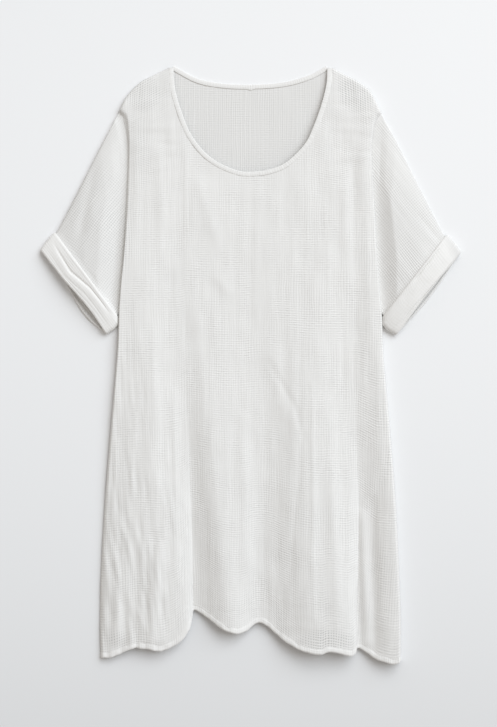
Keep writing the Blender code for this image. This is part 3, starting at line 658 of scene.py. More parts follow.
def add_mesh(name, points, faces, grain, material, nodes=()):
    """Puts points and four-cornered faces into a mesh that rides on the dress."""
    mesh = bpy.data.meshes.new(name)
    mesh.vertices.add(len(points))
    mesh.vertices.foreach_set("co", points.astype(np.float32).ravel())
    mesh.loops.add(faces.size)
    mesh.loops.foreach_set("vertex_index", faces.astype(np.int32).ravel())
    mesh.polygons.add(len(faces))
    mesh.polygons.foreach_set("loop_start", np.arange(0, faces.size, 4, dtype=np.int32))
    layer = mesh.uv_layers.new(name=GRAIN)
    layer.data.foreach_set("uv", (grain[faces.ravel()] * MM).astype(np.float32).ravel())
    mesh.update(calc_edges=True)
    mesh.validate()
    mesh.shade_smooth()
    mesh.set_sharp_from_angle(angle=SHARPEST_BEND)
    mesh.materials.append(material)
    piece = bpy.data.objects.new(name, mesh)
    bpy.context.scene.collection.objects.link(piece)
    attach(piece, "root")
    if nodes:
        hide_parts(*nodes)
    return piece


def with_height(plan, height):
    """Points of the plan with their heights."""
    return np.concatenate([plan, height[..., None]], axis=-1)


def across_length(points):
    """Way across the folded cloth at each point: X and what the folds add to it, counted from the
    middle and evened out along the length."""
    step = np.diff(points, axis=0)
    added = np.hypot(step[..., 0], step[..., 2]) - np.abs(step[..., 0])
    added = np.concatenate([np.zeros((1, added.shape[1])), np.cumsum(added, axis=0)])
    added -= added[len(added) // 2]
    kernel = np.hanning(2 * EVENING + 3)[1:-1]
    kernel /= kernel.sum()
    padded = np.pad(added, ((0, 0), (EVENING, EVENING)), mode="edge")
    added = sum(weight * padded[:, k:k + added.shape[1]] for k, weight in enumerate(kernel))
    return points[..., 0] + added


def hem_at(hem, distance, shares):
    """The hem moved straight up, so that the strip between is a distance wide where it slopes too, at
    even steps of X."""
    path = dense_path(hem)
    ahead = np.gradient(path, axis=0)
    flatness = np.maximum(np.abs(ahead[:, 0]) / np.linalg.norm(ahead, axis=1), 0.6)
    moved = path + np.array([0.0, 1.0]) * (distance / flatness)[:, None]
    order = np.argsort(path[:, 0])
    x = path[0, 0] + shares * (path[-1, 0] - path[0, 0])
    return np.stack([np.interp(x, path[order, 0], moved[order, k]) for k in (0, 1)], axis=-1)


def spread(breaks, counts):
    """Shares between breaks, each stretch in its own number of even steps."""
    parts = [np.linspace(a, b, n + 1) for a, b, n in zip(breaks[:-1], breaks[1:], counts)]
    return np.unique(np.round(np.concatenate(parts), 7))


def front_shares():
    """Shares across the front: even ones, with more beside both edges and at the two crisp valleys."""
    columns = settings().columns
    side = int(columns * FRONT_BREAKS[1])
    even = spread(FRONT_BREAKS, (side, columns - 2 * side, side))
    edge = np.array([0.0012, 0.003, 0.0055, 0.0085, 0.0125])
    creases = np.concatenate([np.linspace(0.296, 0.318, 12), np.linspace(0.842, 0.872, 12)])
    return np.unique(np.round(np.concatenate([even, edge, 1.0 - edge, creases]), 7))


def front_rows():
    """Shares along the front: even ones, with more beside the shoulders and the neck."""
    even = np.linspace(0.0, 1.0, settings().rows + 1)
    return np.unique(np.concatenate([even, 1.0 - np.array([0.0006, 0.0015, 0.0028])]))


def front_plan(u, v):
    """Plan of the front panel, from the hem band's upper edge to the shoulders and the binding."""
    bottom = hem_at(FRONT_HEM, settings().hem_width / MM - HEM_OVERLAP, u)
    neck = dense_path(NECKLINE)
    left_shoulder = dense_path(LEFT_SHOULDER)
    right_shoulder = dense_path(RIGHT_SHOULDER)
    left_shoulder = left_shoulder[left_shoulder[:, 0] < neck[0, 0] - 0.2]
    right_shoulder = right_shoulder[right_shoulder[:, 0] > neck[-1, 0] + 0.2]
    left_shoulder = np.concatenate([left_shoulder, neck[:1]])
    right_shoulder = np.concatenate([neck[-1:], right_shoulder])
    top = joined([(left_shoulder, None), (neck, None), (right_shoulder, None)], FRONT_BREAKS, u)
    sides = []
    for side, corner in ((LEFT_SIDE, bottom[0]), (RIGHT_SIDE, bottom[-1])):
        path = dense_path(side)
        path = path[path[:, 1] > corner[1] + 0.5]
        sides.append(at_share(np.concatenate([corner[None], path]), v))
    sides[0][-1] = top[0]
    sides[1][-1] = top[-1]
    return patch(bottom, top, sides[0], sides[1], u, v)


def quarter_round(distance, radius):
    """Rise of a rounded edge from 0 to 1: a quarter of an ellipse over the radius."""
    t = np.clip(distance / radius, 0.0, 1.0)
    return np.sqrt(1.0 - (1.0 - t) ** 2)


def front_surface(x, y, from_side, from_shoulder):
    """Upper face of the front: folds and crinkles that come down at the sides and the shoulders in a
    rounded edge, on the surface below the arms and on the sleeves beside them. The edge is a quarter
    of an ellipse, wider at the lower left, and blends into a smooth step beside the arms."""
    cloth = settings().cloth / MM
    on_sleeve = ramp(y, 55.0, 75.0) * (1.0 - ramp(y, 372.0, 396.0))
    seam = EDGE_GAP + cloth + on_sleeve * (SEAM_HEIGHT - SEAM_SINK)
    height = fold_height(x, y) + crinkle(x, y)
    lower_left = ramp(-y, 100.0, 380.0) * (x < 0.0)
    by_arm = ramp(y, 150.0, 260.0) * (1.0 - ramp(y, 380.0, 398.0)) * np.where(x < 0.0, 1.0, 0.5)
    radius = EDGE_RADIUS + EDGE_WIDER_LOW * lower_left + EDGE_WIDER_BY_ARM * by_arm
    beside = (1.0 - by_arm) * quarter_round(from_side, radius) + by_arm * ramp(from_side, -3.0, radius)
    rise = beside * quarter_round(from_shoulder, EDGE_RADIUS)
    return seam + np.maximum(height - seam, 0.0) * rise


def weave_grain(points, hem_rise):
    """Coordinates of the weave: across, the length over the folds; along, Y less the hem's own rise
    and fall, which the cross threads follow near the hem and lose further up, plus a slant at the
    right edge and at the shoulders."""
    across = across_length(points)
    along = points[..., 1]
    fade = np.exp(-np.clip(along - along[:, :1], 0.0, None) / 170.0)
    sag = 0.5 * np.clip(points[..., 0] - 166.0, 0.0, 30.0) * ramp(-along, -150.0, 200.0)
    sag += 0.5 * np.clip(np.abs(points[..., 0]) - 95.0, 0.0, 110.0) * ramp(along, 210.0, 400.0)
    return np.stack([across, along - fade * hem_rise[:, None] + sag], axis=-1)


def front_grids(v):
    """Plan and upper face of the front panel at rows v."""
    u = front_shares()
    plan = front_plan(u, v)
    from_left = np.linalg.norm(plan - plan[:1], axis=-1)
    from_right = np.linalg.norm(plan - plan[-1:], axis=-1)
    from_top = np.linalg.norm(plan - plan[:, -1:], axis=-1)
    by_neck = ramp(u, FRONT_BREAKS[1] - 0.012, FRONT_BREAKS[1])
    by_neck = by_neck * (1.0 - ramp(u, FRONT_BREAKS[2], FRONT_BREAKS[2] + 0.012))
    from_shoulder = from_top + 60.0 * by_neck[:, None]
    height = front_surface(plan[..., 0], plan[..., 1], np.minimum(from_left, from_right), from_shoulder)
    x, z = lap_over(plan[..., 0], plan[..., 1], height)
    return plan, np.stack([x, plan[..., 1], z], axis=-1)


def below(points, distance):
    """The same grid moved down into the cloth, along its own normals."""
    across = np.gradient(points, axis=0)
    along = np.gradient(points, axis=1)
    normal = np.cross(across, along)
    normal /= np.maximum(np.linalg.norm(normal, axis=-1), 1e-9)[..., None]
    normal *= np.sign(np.median(normal[..., 2]))
    return points - normal * distance


class GAUZE_OT_front_panel(bpy.types.Operator):
    """Front panel: one thin folded sheet from shoulder to hem"""

    bl_idname = "gauze_dress.front_panel"
    bl_label = "Front panel"

    def execute(self, context):
        plan, points = front_grids(front_rows())
        hem_rise = plan[:, 0, 1] - plan[:, 0, 1].mean()
        grain = weave_grain(points, hem_rise)
        lower = below(points, settings().cloth / MM)
        add_shell("front_cloth", points, lower, grain, False, gauze("front"), "panel_gauze",
                  ("front_panel",))
        return {"FINISHED"}


def back_edge(side, shoulder, sign, corner, neck_point, v):
    """One side of the back at shares v, with the underarm's notch and the armhole, and the shoulder
    beside it, all a little inside the front's edge."""
    inner = ARMHOLE_X - BACK_INSET
    path = dense_path(side)
    path = path[(path[:, 1] > corner[1] + 0.5) & (path[:, 1] < UNDERARM[1] - 1.0)]
    underarm = np.array([[sign * UNDERARM[0], UNDERARM[1]]])
    path = np.concatenate([corner[None], path, underarm])
    path[:, 0] -= sign * BACK_INSET
    armhole_low = np.array([[sign * inner, ARMHOLE_LOW]])
    armhole_high = np.array([[sign * inner, ARMHOLE_HIGH - BACK_INSET]])
    notch = np.concatenate([path[-1:], armhole_low])
    armhole = np.concatenate([armhole_low, armhole_high])
    shoulder = dense_path(shoulder)
    inside = (np.abs(shoulder[:, 0]) < inner - 1.0) & (np.abs(shoulder[:, 0]) > BACK_SHOULDER_END)
    shoulder = shoulder[inside] - np.array([0.0, BACK_INSET])
    shoulder = np.concatenate([armhole_high, shoulder, neck_point[None]])
    return joined([(path, None), (notch, None), (armhole, None)], BACK_SIDE_BREAKS, v), shoulder


class GAUZE_OT_back_panel(bpy.types.Operator):
    """Back panel: a flat sheet on the surface, seen through the neck"""

    bl_idname = "gauze_dress.back_panel"
    bl_label = "Back panel"

    def execute(self, context):
        u = spread(BACK_BREAKS, (20, 90, 20))
        v = spread(BACK_SIDE_BREAKS, (60, 4, 110))
        bottom = hem_at(BACK_HEM, settings().hem_width / MM, u)
        bottom[[0, -1], 0] *= BACK_NARROWER
        neck = dense_path(BACK_NECKLINE)
        panel_neck = moved_out(neck, -BACK_BINDING)
        left, left_shoulder = back_edge(LEFT_SIDE, LEFT_SHOULDER, -1.0, bottom[0], panel_neck[0], v)
        right, right_shoulder = back_edge(
            RIGHT_SIDE, RIGHT_SHOULDER[::-1], 1.0, bottom[-1], panel_neck[-1], v)
        top = joined([(left_shoulder, None), (panel_neck, neck), (right_shoulder[::-1], None)],
                     BACK_BREAKS, u)
        plan = patch(bottom, top, left, right, u, v)
        x, y = plan[..., 0], plan[..., 1]
        height = BACK_HEIGHT + 0.12 * noise(x, y, 6.0, 90.0, 21) + 0.16 * noise(x, y, 26.0, 34.0, 22)
        points = with_height(plan, np.maximum(height, BACK_LEAST))
        lower = with_height(plan, np.zeros_like(height))
        add_shell("back_cloth", points, lower, plan.copy(), False, gauze("back"), "panel_gauze",
                  ("back_panel",))
        return {"FINISHED"}


def seam_height(x, y):
    """Highest a sleeve may stand: low under the front's armhole edge, rising away from it. On the
    left a strip beside the edge stays low, wider towards the underarm."""
    left, right = front_edges(y)
    away = np.where(x < 0, left - x, x - right)
    low_strip = np.where(x < 0, 3.0 + 6.0 * (1.0 - ramp(y, 190.0, 290.0)), 0.0)
    return SEAM_HEIGHT + SEAM_RISE * ramp(away, low_strip, SEAM_RISE_WIDTH)


def tube_loop(section, height, edge_height, inset, lower_shift, seam, relief):
    """One loop of a tube pressed flat: an upper layer whose rise is a power of a sine, a flat lower
    layer, and half circles where it folds at both ends. The lower layer bows out along lower_shift,
    and the upper one draws back by part of that."""
    start, end = np.array(section[0:2]), np.array(section[2:4])
    length = np.linalg.norm(end - start)
    along = (end - start) / length
    turn = 0.5 - 0.5 * np.cos(np.pi * np.arange(TUBE_STEPS + 1) / TUBE_STEPS)
    place = inset + (length - 2.0 * inset) * turn
    spots = start + place[:, None] * along
    rise = np.clip(np.sin(np.pi * np.clip(place / length, 0.0, 1.0)), 0.0, 1.0) ** 0.6
    upper = edge_height + (height - edge_height) * rise
    calm = np.clip(np.sin(np.pi * place / length), 0.0, 1.0) ** 0.5
    upper = upper + calm * relief(place, spots[:, 0], spots[:, 1])
    if seam:
        upper = np.minimum(upper, seam_height(spots[:, 0], spots[:, 1]))
    upper = upper - inset
    lower = np.full_like(upper, inset)
    bend = np.pi * np.arange(1, TUBE_FOLD_STEPS) / TUBE_FOLD_STEPS
    middle_far, half_far = 0.5 * (upper[-1] + lower[-1]), 0.5 * (upper[-1] - lower[-1])
    middle_near, half_near = 0.5 * (upper[0] + lower[0]), 0.5 * (upper[0] - lower[0])
    bulge = min(FOLD_BULGE * half_far, MOST_BULGE) * np.sin(bend)
    places = np.concatenate([place, place[-1] + bulge, place[::-1], place[0] - bulge])
    heights = np.concatenate([
        upper, middle_far + half_far * np.cos(bend),
        lower[::-1], middle_near - half_near * np.cos(bend)])
    plan = start + places[:, None] * along
    shift = np.zeros(len(places))
    first = TUBE_STEPS + 1 + len(bend)
    reach = LEFT_BOW_END if start[0] < 0.0 else 1.0
    bow = np.sin(np.pi * np.clip(place / length / reach, 0.0, 1.0) ** (0.4 + 0.6 * reach)) ** 1.4
    shift[:TUBE_STEPS + 1] = -DRAW_BACK * bow
    shift[first:first + TUBE_STEPS + 1] = bow[::-1]
    plan = plan + shift[:, None] * np.asarray(lower_shift)
    return with_height(plan, heights)


def row_of(table, place):
    """Row of a table at a place between its rows."""
    rows = np.asarray(table, dtype=float)
    return np.array([np.interp(place, np.arange(len(rows)), rows[:, k]) for k in range(rows.shape[1])])


def row_between(table, place):
    """Columns of a table between its rows. The first column, left out, holds the rows' places."""
    return [np.interp(place, table[:, 0], table[:, k]) for k in range(1, table.shape[1])]


def outward(cuff_table):
    """Direction on the plan from a cuff's turned-up edge to its opening."""
    first, last = np.asarray(cuff_table[0]), np.asarray(cuff_table[-1])
    way = 0.5 * (last[0:2] + last[2:4]) - 0.5 * (first[0:2] + first[2:4])
    return way / np.linalg.norm(way)


def no_relief(place, x, y):
    """A plain layer without folds."""
    return 0.0 * x


def cuff_loop(side, table, place, inset, relief):
    """One loop of a tube with a cuff's section at a row of its table, an inset inside its full form."""
    shift = outward(table) * LOWER_LAYER_REACH[side] * place / (len(table) - 1)
    height = CUFF_HEIGHT - CUFF_SLOPE * place
    return tube_loop(row_of(table, place), height, CUFF_EDGE_HEIGHT, inset, shift, False, relief)


def sleeve_relief(place, x, y):
    """Soft folds of a sleeve: a broad crease towards the left cuff, a narrow one that runs out of the
    right sleeve's top edge into its cuff, and uneven crinkles along the length."""
    left = x < 0
    crease = np.exp(-(((-x - 250.0) - 0.2 * (260.0 - y)) / 8.0) ** 2)
    crease = 2.4 * crease * ramp(y, 170.0, 215.0) * (1.0 - ramp(y, 280.0, 320.0))
    from_line = (RIGHT_OUTWARD[0] - 0.4) * (x - 264.0) + RIGHT_OUTWARD[1] * (y - 224.0)
    narrow = 1.5 * np.exp(-(from_line / 3.0) ** 2) * ramp(x, 250.0, 284.0)
    lengthwise = np.where(
        left, noise(x, y, 5.5, 60.0, 31, -0.62), noise(x, y, 5.5, 60.0, 32, 0.62))
    dents = 0.45 * noise(x, y, 24.0, 34.0, 33)
    return 0.28 * lengthwise + dents - np.where(left, crease, narrow)


class GAUZE_OT_sleeves(bpy.types.Operator):
    """Both sleeves: tubes pressed flat, from the armhole into the cuff"""

    bl_idname = "gauze_dress.sleeves"
    bl_label = "Sleeves"

    def execute(self, context):
        cloth = settings().cloth / MM
        for side, sections, table in (
            ("left", LEFT_SLEEVE, LEFT_CUFF), ("right", RIGHT_SLEEVE, RIGHT_CUFF),
        ):
            outer, inner = [], []
            for place in np.linspace(0.0, len(sections) - 1.0, 60):
                section = row_of(sections, place)
                for loops, inset in ((outer, 0.0), (inner, cloth)):
                    loops.append(tube_loop(
                        section, section[4], SLEEVE_EDGE_HEIGHT[side], inset, (0.0, 0.0), True,
                        sleeve_relief))
            for place in np.linspace(0.0, SLEEVE_END_ROW, 12):
                outer.append(cuff_loop(side, table, place, SLEEVE_IN_CUFF, no_relief))
                inner.append(cuff_loop(side, table, place, SLEEVE_IN_CUFF + cloth, no_relief))
            way = outward(table)
            outer, inner = np.stack(outer, axis=1), np.stack(inner, axis=1)
            ahead = np.array([-way[1], way[0]])
            grain = np.stack([outer[..., :2] @ ahead, outer[..., :2] @ way], axis=-1)
            add_shell("sleeve_cloth_" + side, outer, inner, grain, True,
                      gauze("sleeve"), "sleeve_gauze", ("sleeve_" + side,))
        return {"FINISHED"}


def tube_grain(outer):
    """Weave coordinates of a tube: the way round, from the underarm, and the way along."""
    round_step = np.linalg.norm(np.diff(outer, axis=0), axis=-1).mean(axis=1)
    around = np.concatenate([[0.0], np.cumsum(round_step)])
    length_step = np.linalg.norm(np.diff(outer, axis=1), axis=-1)
    top = len(outer) // 4
    along = np.concatenate([[0.0], np.cumsum(length_step[top])])
    return np.stack(np.meshgrid(around, along, indexing="ij"), axis=-1)


class GAUZE_OT_cuffs(bpy.types.Operator):
    """Both cuffs: the doubled band turned up round the sleeve's end"""

    bl_idname = "gauze_dress.cuffs"
    bl_label = "Cuffs"

    def execute(self, context):
        profile = np.asarray(CUFF_PROFILE)
        places = np.unique(np.concatenate([profile[:, 0], np.linspace(0.15, 3.4, 44)]))
        for side, table, creases in (
            ("left", LEFT_CUFF, LEFT_CUFF_CREASES), ("right", RIGHT_CUFF, RIGHT_CUFF_CREASES),
        ):
            outer, inner = [], []
            for place in places:
                outer_inset, inner_inset = row_between(profile, place)
                outer.append(cuff_loop(side, table, place, outer_inset, cuff_folds(creases, place)))
                inner.append(cuff_loop(side, table, place, inner_inset, no_relief))
            outer, inner = np.stack(outer, axis=1), np.stack(inner, axis=1)
            add_shell("cuff_cloth_" + side, outer, inner, tube_grain(outer), True,
                      gauze("cuff"), "cuff_gauze", ("cuff_" + side,))
        return {"FINISHED"}


def cuff_folds(creases, depth):
    """Creases along a cuff at one depth: bell-shaped across, drifting in depth from end to end."""
    def relief(place, x, y):
        """Height of the creases and of some uneven dents along the loop."""
        share = np.clip(place / max(place.max(), 1.0), 0.0, 1.0)
        rise = noises(x, y, CUFF_DENTS)
        for k, (*depths, start, end, width, height) in enumerate(creases):
            centre = np.interp(share, CREASE_SHARES, depths)
            centre = centre + 0.08 * noise(place, 0.0 * place, 24.0, 9.0, 50 + k)
            fade = ramp(share, start - 0.05, start + 0.12) * (1.0 - ramp(share, end - 0.15, end + 0.03))
            rise = rise + height * fade * np.exp(-((depth - centre) / width) ** 2)
        return rise
    return relief


def band_grids(near, far, steps, middle, thick, rim):
    """A bound edge: a strip between two paths whose half thickness falls to its rims as the root of
    one less the fourth power of the distance from its middle line. It stays off the surface."""
    share = 0.5 - 0.5 * np.cos(np.pi * np.linspace(0.0, 1.0, steps))
    plan = near[:, None] * (1 - share)[None, :, None] + far[:, None] * share[None, :, None]
    roundness = np.sqrt(np.clip(1.0 - (2.0 * share - 1.0) ** 4, 0.0, 1.0))
    half = 0.5 * (rim + (thick - rim) * roundness)[None, :]
    height = middle(plan[..., 0], plan[..., 1]) + 0.0 * plan[..., 0]
    return with_height(plan, height + half), with_height(plan, np.maximum(height - half, SURFACE_GAP))


class GAUZE_OT_neck_binding(bpy.types.Operator):
    """Neck binding: a folded bias strip round the scoop, in a front and a back stretch"""

    bl_idname = "gauze_dress.neck_binding"
    bl_label = "Neck binding"

    def execute(self, context):
        width = settings().binding_width / MM
        neck = dense_path(NECKLINE)
        share = np.linspace(0.0, 1.0, NECK_STEPS)
        outer_edge = at_share(moved_out(neck, -0.2), share, neck)
        inner_edge = at_share(moved_out(neck, width), share, neck)

        def front_middle(x, y):
            """Middle height of the binding: that of the front beside it, a little lower, puckered."""
            height = np.maximum(fold_height(x, y), BINDING_LEAST)[:, :1]
            pucker = 0.16 * noise(lengths_of(outer_edge)[:, None], 0.0 * x, 4.0, 9.0, 61)
            return height - BINDING_SINK + pucker

        upper, lower = band_grids(
            outer_edge, inner_edge, BINDING_STEPS, front_middle, thick=2.2, rim=0.7)
        add_shell("neck_binding_front_cloth", upper, lower, strip_grain(upper), False,
                  gauze("band"), "neck_binding", ("neck_binding_front",))
        back = dense_path(BACK_NECKLINE)
        notch = 1.8 * np.exp(-((back[:, 0] - 1.0) / 4.0) ** 2)
        upper_edge = at_share(back, share)
        low = moved_out(back, -BACK_BINDING)
        lower_edge = at_share(low - notch[:, None] * np.array([0.0, 1.0]), share, back)
        upper, lower = band_grids(
            lower_edge, upper_edge, BINDING_STEPS, lambda x, y: 1.25, thick=2.3, rim=0.8)
        add_shell("neck_binding_back_cloth", upper, lower, strip_grain(upper), False,
                  gauze("band"), "neck_binding", ("neck_binding_back",))
        return {"FINISHED"}


def strip_grain(upper):
    """Weave coordinates of a strip: its length and its width."""
    step = np.linalg.norm(np.diff(upper, axis=0), axis=-1).mean(axis=1)
    length = np.concatenate([[0.0], np.cumsum(step)])
    across = np.linalg.norm(upper - upper[:, :1], axis=-1)
    return np.stack([np.repeat(length[:, None], upper.shape[1], axis=1), across], axis=-1)


def front_hem(u):
    """Rolled hem of the front: its section laid over the front's own surface, with lumps along its
    edge and puckers on it. Returns the upper and the lower face."""
    low, high = hem_at(FRONT_HEM, 0.0, u), hem_at(FRONT_HEM, settings().hem_width / MM, u)
    x = low[:, 0]
    low[:, 1] += (0.7 + 0.8 * ramp(-x, 110.0, 160.0)) * noises(x, 0.0 * x, HEM_LUMPS)
    share, rise = np.array(HEM_PROFILE).T
    plan = low[:, None] * (1 - share)[None, :, None] + high[:, None] * share[None, :, None]
    x, y = plan[..., 0], plan[..., 1]
    from_left = np.linalg.norm(plan - plan[:1], axis=-1)
    from_right = np.linalg.norm(plan - plan[-1:], axis=-1)
    far_from_shoulder = np.full_like(x, 90.0)
    height = front_surface(x, y, np.minimum(from_left, from_right), far_from_shoulder)
    pucker = noises(x, y, HEM_PUCKERS) * (share < HEM_PUCKER_END)
    x, height = lap_over(x, y, height)
    top = np.stack([x, y, height + rise + pucker], axis=-1)
    under = np.minimum(np.maximum(height - HEM_DEPTH, HEM_LOWEST), top[..., 2] - HEM_WALL)
    return top, np.stack([x, y, under], axis=-1)


def back_hem(u):
    """Rolled hem of the back: a plain flat band. Returns the upper and the lower face."""
    low, high = hem_at(BACK_HEM, 0.0, u), hem_at(BACK_HEM, settings().hem_width / MM, u)
    for edge in (low, high):
        edge[:, 0] *= BACK_NARROWER
    return band_grids(low, high, 9, lambda x, y: 1.2, thick=2.2, rim=0.8)


class GAUZE_OT_hems(bpy.types.Operator):
    """Rolled hems of the front and the back, slightly puckered"""

    bl_idname = "gauze_dress.hems"
    bl_label = "Hems"

    def execute(self, context):
        u = np.unique(np.round(np.concatenate([front_shares(), np.linspace(0.0, 1.0, 420)]), 6))
        for side, faces in (("front", front_hem(u)), ("back", back_hem(u))):
            add_shell("hem_%s_cloth" % side, *faces, strip_grain(faces[0]), False, gauze("band"),
                      "rolled_hem", ("hem_" + side,))
        return {"FINISHED"}


def group_of(name, inputs, outputs, fill):
    """The node group of this name, made and filled in once."""
    if name in bpy.data.node_groups:
        return bpy.data.node_groups[name]
    group = bpy.data.node_groups.new(name, "ShaderNodeTree")
    for label, kind, default in inputs:
        socket = group.interface.new_socket(label, in_out="INPUT", socket_type=kind)
        if default is not None:
            socket.default_value = default
    for label, kind in outputs:
        group.interface.new_socket(label, in_out="OUTPUT", socket_type=kind)
    n = Nodes(group)
    fill(n, n.add("NodeGroupInput").outputs, n.add("NodeGroupOutput").inputs)
    return group


class Nodes:
    """Short calls for one node tree."""

    def __init__(self, tree):
        self.tree = tree

    def add(self, kind, **values):
        """A new node with its settings."""
        node = self.tree.nodes.new(kind)
        for key, value in values.items():
            setattr(node, key, value)
        return node

    def link(self, source, target):
        """Feeds an input from an output, or sets it to a value."""
        if hasattr(source, "is_output"):
            self.tree.links.new(source, target)
        else:
            target.default_value = source

    def math(self, operation, a, b=0.0, c=0.0):
        """Output of one calculation with up to three values or outputs."""
        node = self.add("ShaderNodeMath", operation=operation)
        self.link(a, node.inputs[0])
        self.link(b, node.inputs[1])
        self.link(c, node.inputs[2])
        return node.outputs[0]

    def clamp(self, value, low=0.0, high=1.0):
        """The value kept between two limits."""
        return self.math("MINIMUM", self.math("MAXIMUM", value, low), high)

    def group(self, name, inputs, outputs, fill, **values):
        """A node that uses a group, with some of its inputs set or fed."""
        node = self.add("ShaderNodeGroup", node_tree=group_of(name, inputs, outputs, fill))
        for label, value in values.items():
            self.link(value, node.inputs[label])
        return node.outputs

    def tinted(self, colour, brightness):
        """A colour times a brightness."""
        node = self.add("ShaderNodeVectorMath", operation="SCALE")
        node.inputs[0].default_value = colour
        self.link(brightness, node.inputs["Scale"])
        return node.outputs[0]

    def centred(self, value):
        """Noise about zero instead of a half."""
        return self.math("SUBTRACT", value, 0.5)

    def patches(self, x, y, scale_x, scale_y):
        """Uneven strength from 0.25 to 1.4, in patches."""
        spread = self.math("MULTIPLY_ADD", self.stretched_noise(x, y, scale_x, scale_y, 1.0), 3.0, -0.7)
        return self.clamp(spread, 0.25, 1.4)

    def stretched_noise(self, x, y, scale_x, scale_y, detail=2.0):
        """Noise on grain coordinates, with its own scale across and along."""
        joined_up = self.add("ShaderNodeCombineXYZ")
        self.link(self.math("MULTIPLY", x, scale_x), joined_up.inputs[0])
        self.link(self.math("MULTIPLY", y, scale_y), joined_up.inputs[1])
        texture = self.add("ShaderNodeTexNoise", noise_dimensions="2D")
        self.link(joined_up.outputs[0], texture.inputs["Vector"])
        texture.inputs["Scale"].default_value = 1.0
        texture.inputs["Detail"].default_value = detail
        return texture.outputs[0]


def fill_weave(n, given, out):
    """Open square weave: even cords each way, uneven streaks along, broken threads across, broad
    ribs. Height and Tone run about zero, Gaps from 0 to 1. Noises have their scales per metre."""
    split = n.add("ShaderNodeSeparateXYZ")
    n.link(given["Grain"], split.inputs[0])
    x, y = split.outputs[0], split.outputs[1]
    x = n.math("ADD", x, n.math("MULTIPLY_ADD", n.stretched_noise(x, y, 60.0, 14.0), 0.005, -0.0025))
    y = n.math("ADD", y, n.math("MULTIPLY_ADD", n.stretched_noise(x, y, 12.0, 40.0), 0.004, -0.002))
    turn = 2.0 * math.pi
    cord = n.math("COSINE", n.math("MULTIPLY", n.math("DIVIDE", x, given["Warp"]), turn))
    thread = n.math("COSINE", n.math("MULTIPLY", n.math("DIVIDE", y, given["Weft"]), turn))
    rib = n.math("COSINE", n.math("MULTIPLY", x, turn / RIB_SPACING))
    rib = n.math("MULTIPLY", rib, n.patches(x, y, 30.0, 12.0))
    cord_patch = n.patches(x, y, 26.0, 14.0)
    thread_patch = n.math("MULTIPLY", n.patches(x, y, 30.0, 22.0), n.patches(x, y, 150.0, 270.0))
    streak = n.centred(n.stretched_noise(x, y, 330.0, 34.0, 1.0))
    wide_streak = n.centred(n.stretched_noise(x, y, 120.0, 11.0, 1.0))
    streaks = n.math("MULTIPLY_ADD", wide_streak, 0.7, n.math("MULTIPLY", streak, 1.6))
    cords = n.math("MULTIPLY", n.math("MULTIPLY", cord, cord_patch), given["Cords"])
    threads = n.math("MULTIPLY", n.math("MULTIPLY", thread, thread_patch), given["Threads"])
    height = n.math("MULTIPLY_ADD", streaks, given["Streaks"], n.math("ADD", cords, threads))
    height = n.math("MULTIPLY_ADD", rib, given["Ribs"], height)
    fine = n.centred(n.stretched_noise(x, y, 900.0, 900.0))
    n.link(n.math("MULTIPLY_ADD", fine, 0.35, height), out["Height"])
    gap = n.math("MULTIPLY", n.math("MULTIPLY_ADD", cord, -0.5, 0.5),
                 n.math("MULTIPLY_ADD", thread, -0.5, 0.5))
    n.link(n.math("POWER", gap, 2.0), out["Gaps"])
    n.link(n.centred(n.stretched_noise(x, y, 24.0, 12.0, 3.0)), out["Tone"])


def place_of(n):
    """X, Y and Z of a point of the object, in metres."""
    split = n.add("ShaderNodeSeparateXYZ")
    n.link(n.add("ShaderNodeTexCoord").outputs["Object"], split.inputs[0])
    return split.outputs


def fill_open_places(n, given, out):
    """Share of opened weave at a place: soft oval spots round the listed middles."""
    place = place_of(n)
    total = None
    for x, y, half_width, half_height, amount in OPEN_PLACES:
        across = n.math("DIVIDE", n.math("SUBTRACT", place[0], x), half_width)
        along = n.math("DIVIDE", n.math("SUBTRACT", place[1], y), half_height)
        reach = n.math("MULTIPLY_ADD", across, across, n.math("MULTIPLY", along, along))
        spot = n.math("MULTIPLY", n.math("MAXIMUM", n.math("SUBTRACT", 1.0, reach), 0.0), amount)
        total = spot if total is None else n.math("MAXIMUM", total, spot)
    share = n.math("MINIMUM", n.math("MULTIPLY", total, 2.0), 1.0)
    n.link(n.math("MULTIPLY", share, given["Strength"]), out["Open"])


def fill_rim_shade_mask(n, given, out):
    """Mask of the painted shade on the outer rims of the right sleeve and its cuff: share of the way
    over them, 0 inside and 1 outside.
    """
    place = place_of(n)
    along = n.math("MULTIPLY", place[1], RIGHT_OUTWARD[1])
    outwards = n.math("MULTIPLY_ADD", place[0], RIGHT_OUTWARD[0], along)
    share = n.math("MULTIPLY", n.math("SUBTRACT", outwards, RIM_START), 1.0 / RIM_WIDTH)
    n.link(n.clamp(share), out["Rim"])


def front_shade(n, shade):
    """Painted shade of the front's weave, stronger towards the hem and the upper right, on a colour that
    darkens a little towards the hem in a painted falloff of the light, and near the shoulders."""
    place = place_of(n)
    stronger = n.clamp(n.math("MULTIPLY_ADD", place[1], -0.9, 1.22), 1.0, 1.6)
    to_right = n.math("MAXIMUM", n.math("SUBTRACT", place[0], 0.05), 0.0)
    upper = n.clamp(n.math("MULTIPLY_ADD", place[1], 3.0, 1.0))
    to_right = n.math("MULTIPLY", to_right, upper)
    shade = n.math("MULTIPLY", shade, n.math("MULTIPLY_ADD", to_right, 5.0, stronger))
    # Painted falloff of the light: the colour darkens a little towards the hem
    painted_falloff_to_hem = n.math("MINIMUM", n.math("MULTIPLY", place[1], 0.09), 0.0)
    above = n.math("MAXIMUM", n.math("SUBTRACT", place[1], 0.30), 0.0)
    return n.math("ADD", shade, n.math("MULTIPLY_ADD", above, -0.35, painted_falloff_to_hem))


def matt_material(name, roughness, specular):
    """A new matt material, its nodes and its shader."""
    material = bpy.data.materials.new(name)
    material.use_nodes = True
    shader = material.node_tree.nodes["Principled BSDF"]
    shader.inputs["Roughness"].default_value = roughness
    shader.inputs["Specular IOR Level"].default_value = specular
    return material, Nodes(material.node_tree), shader


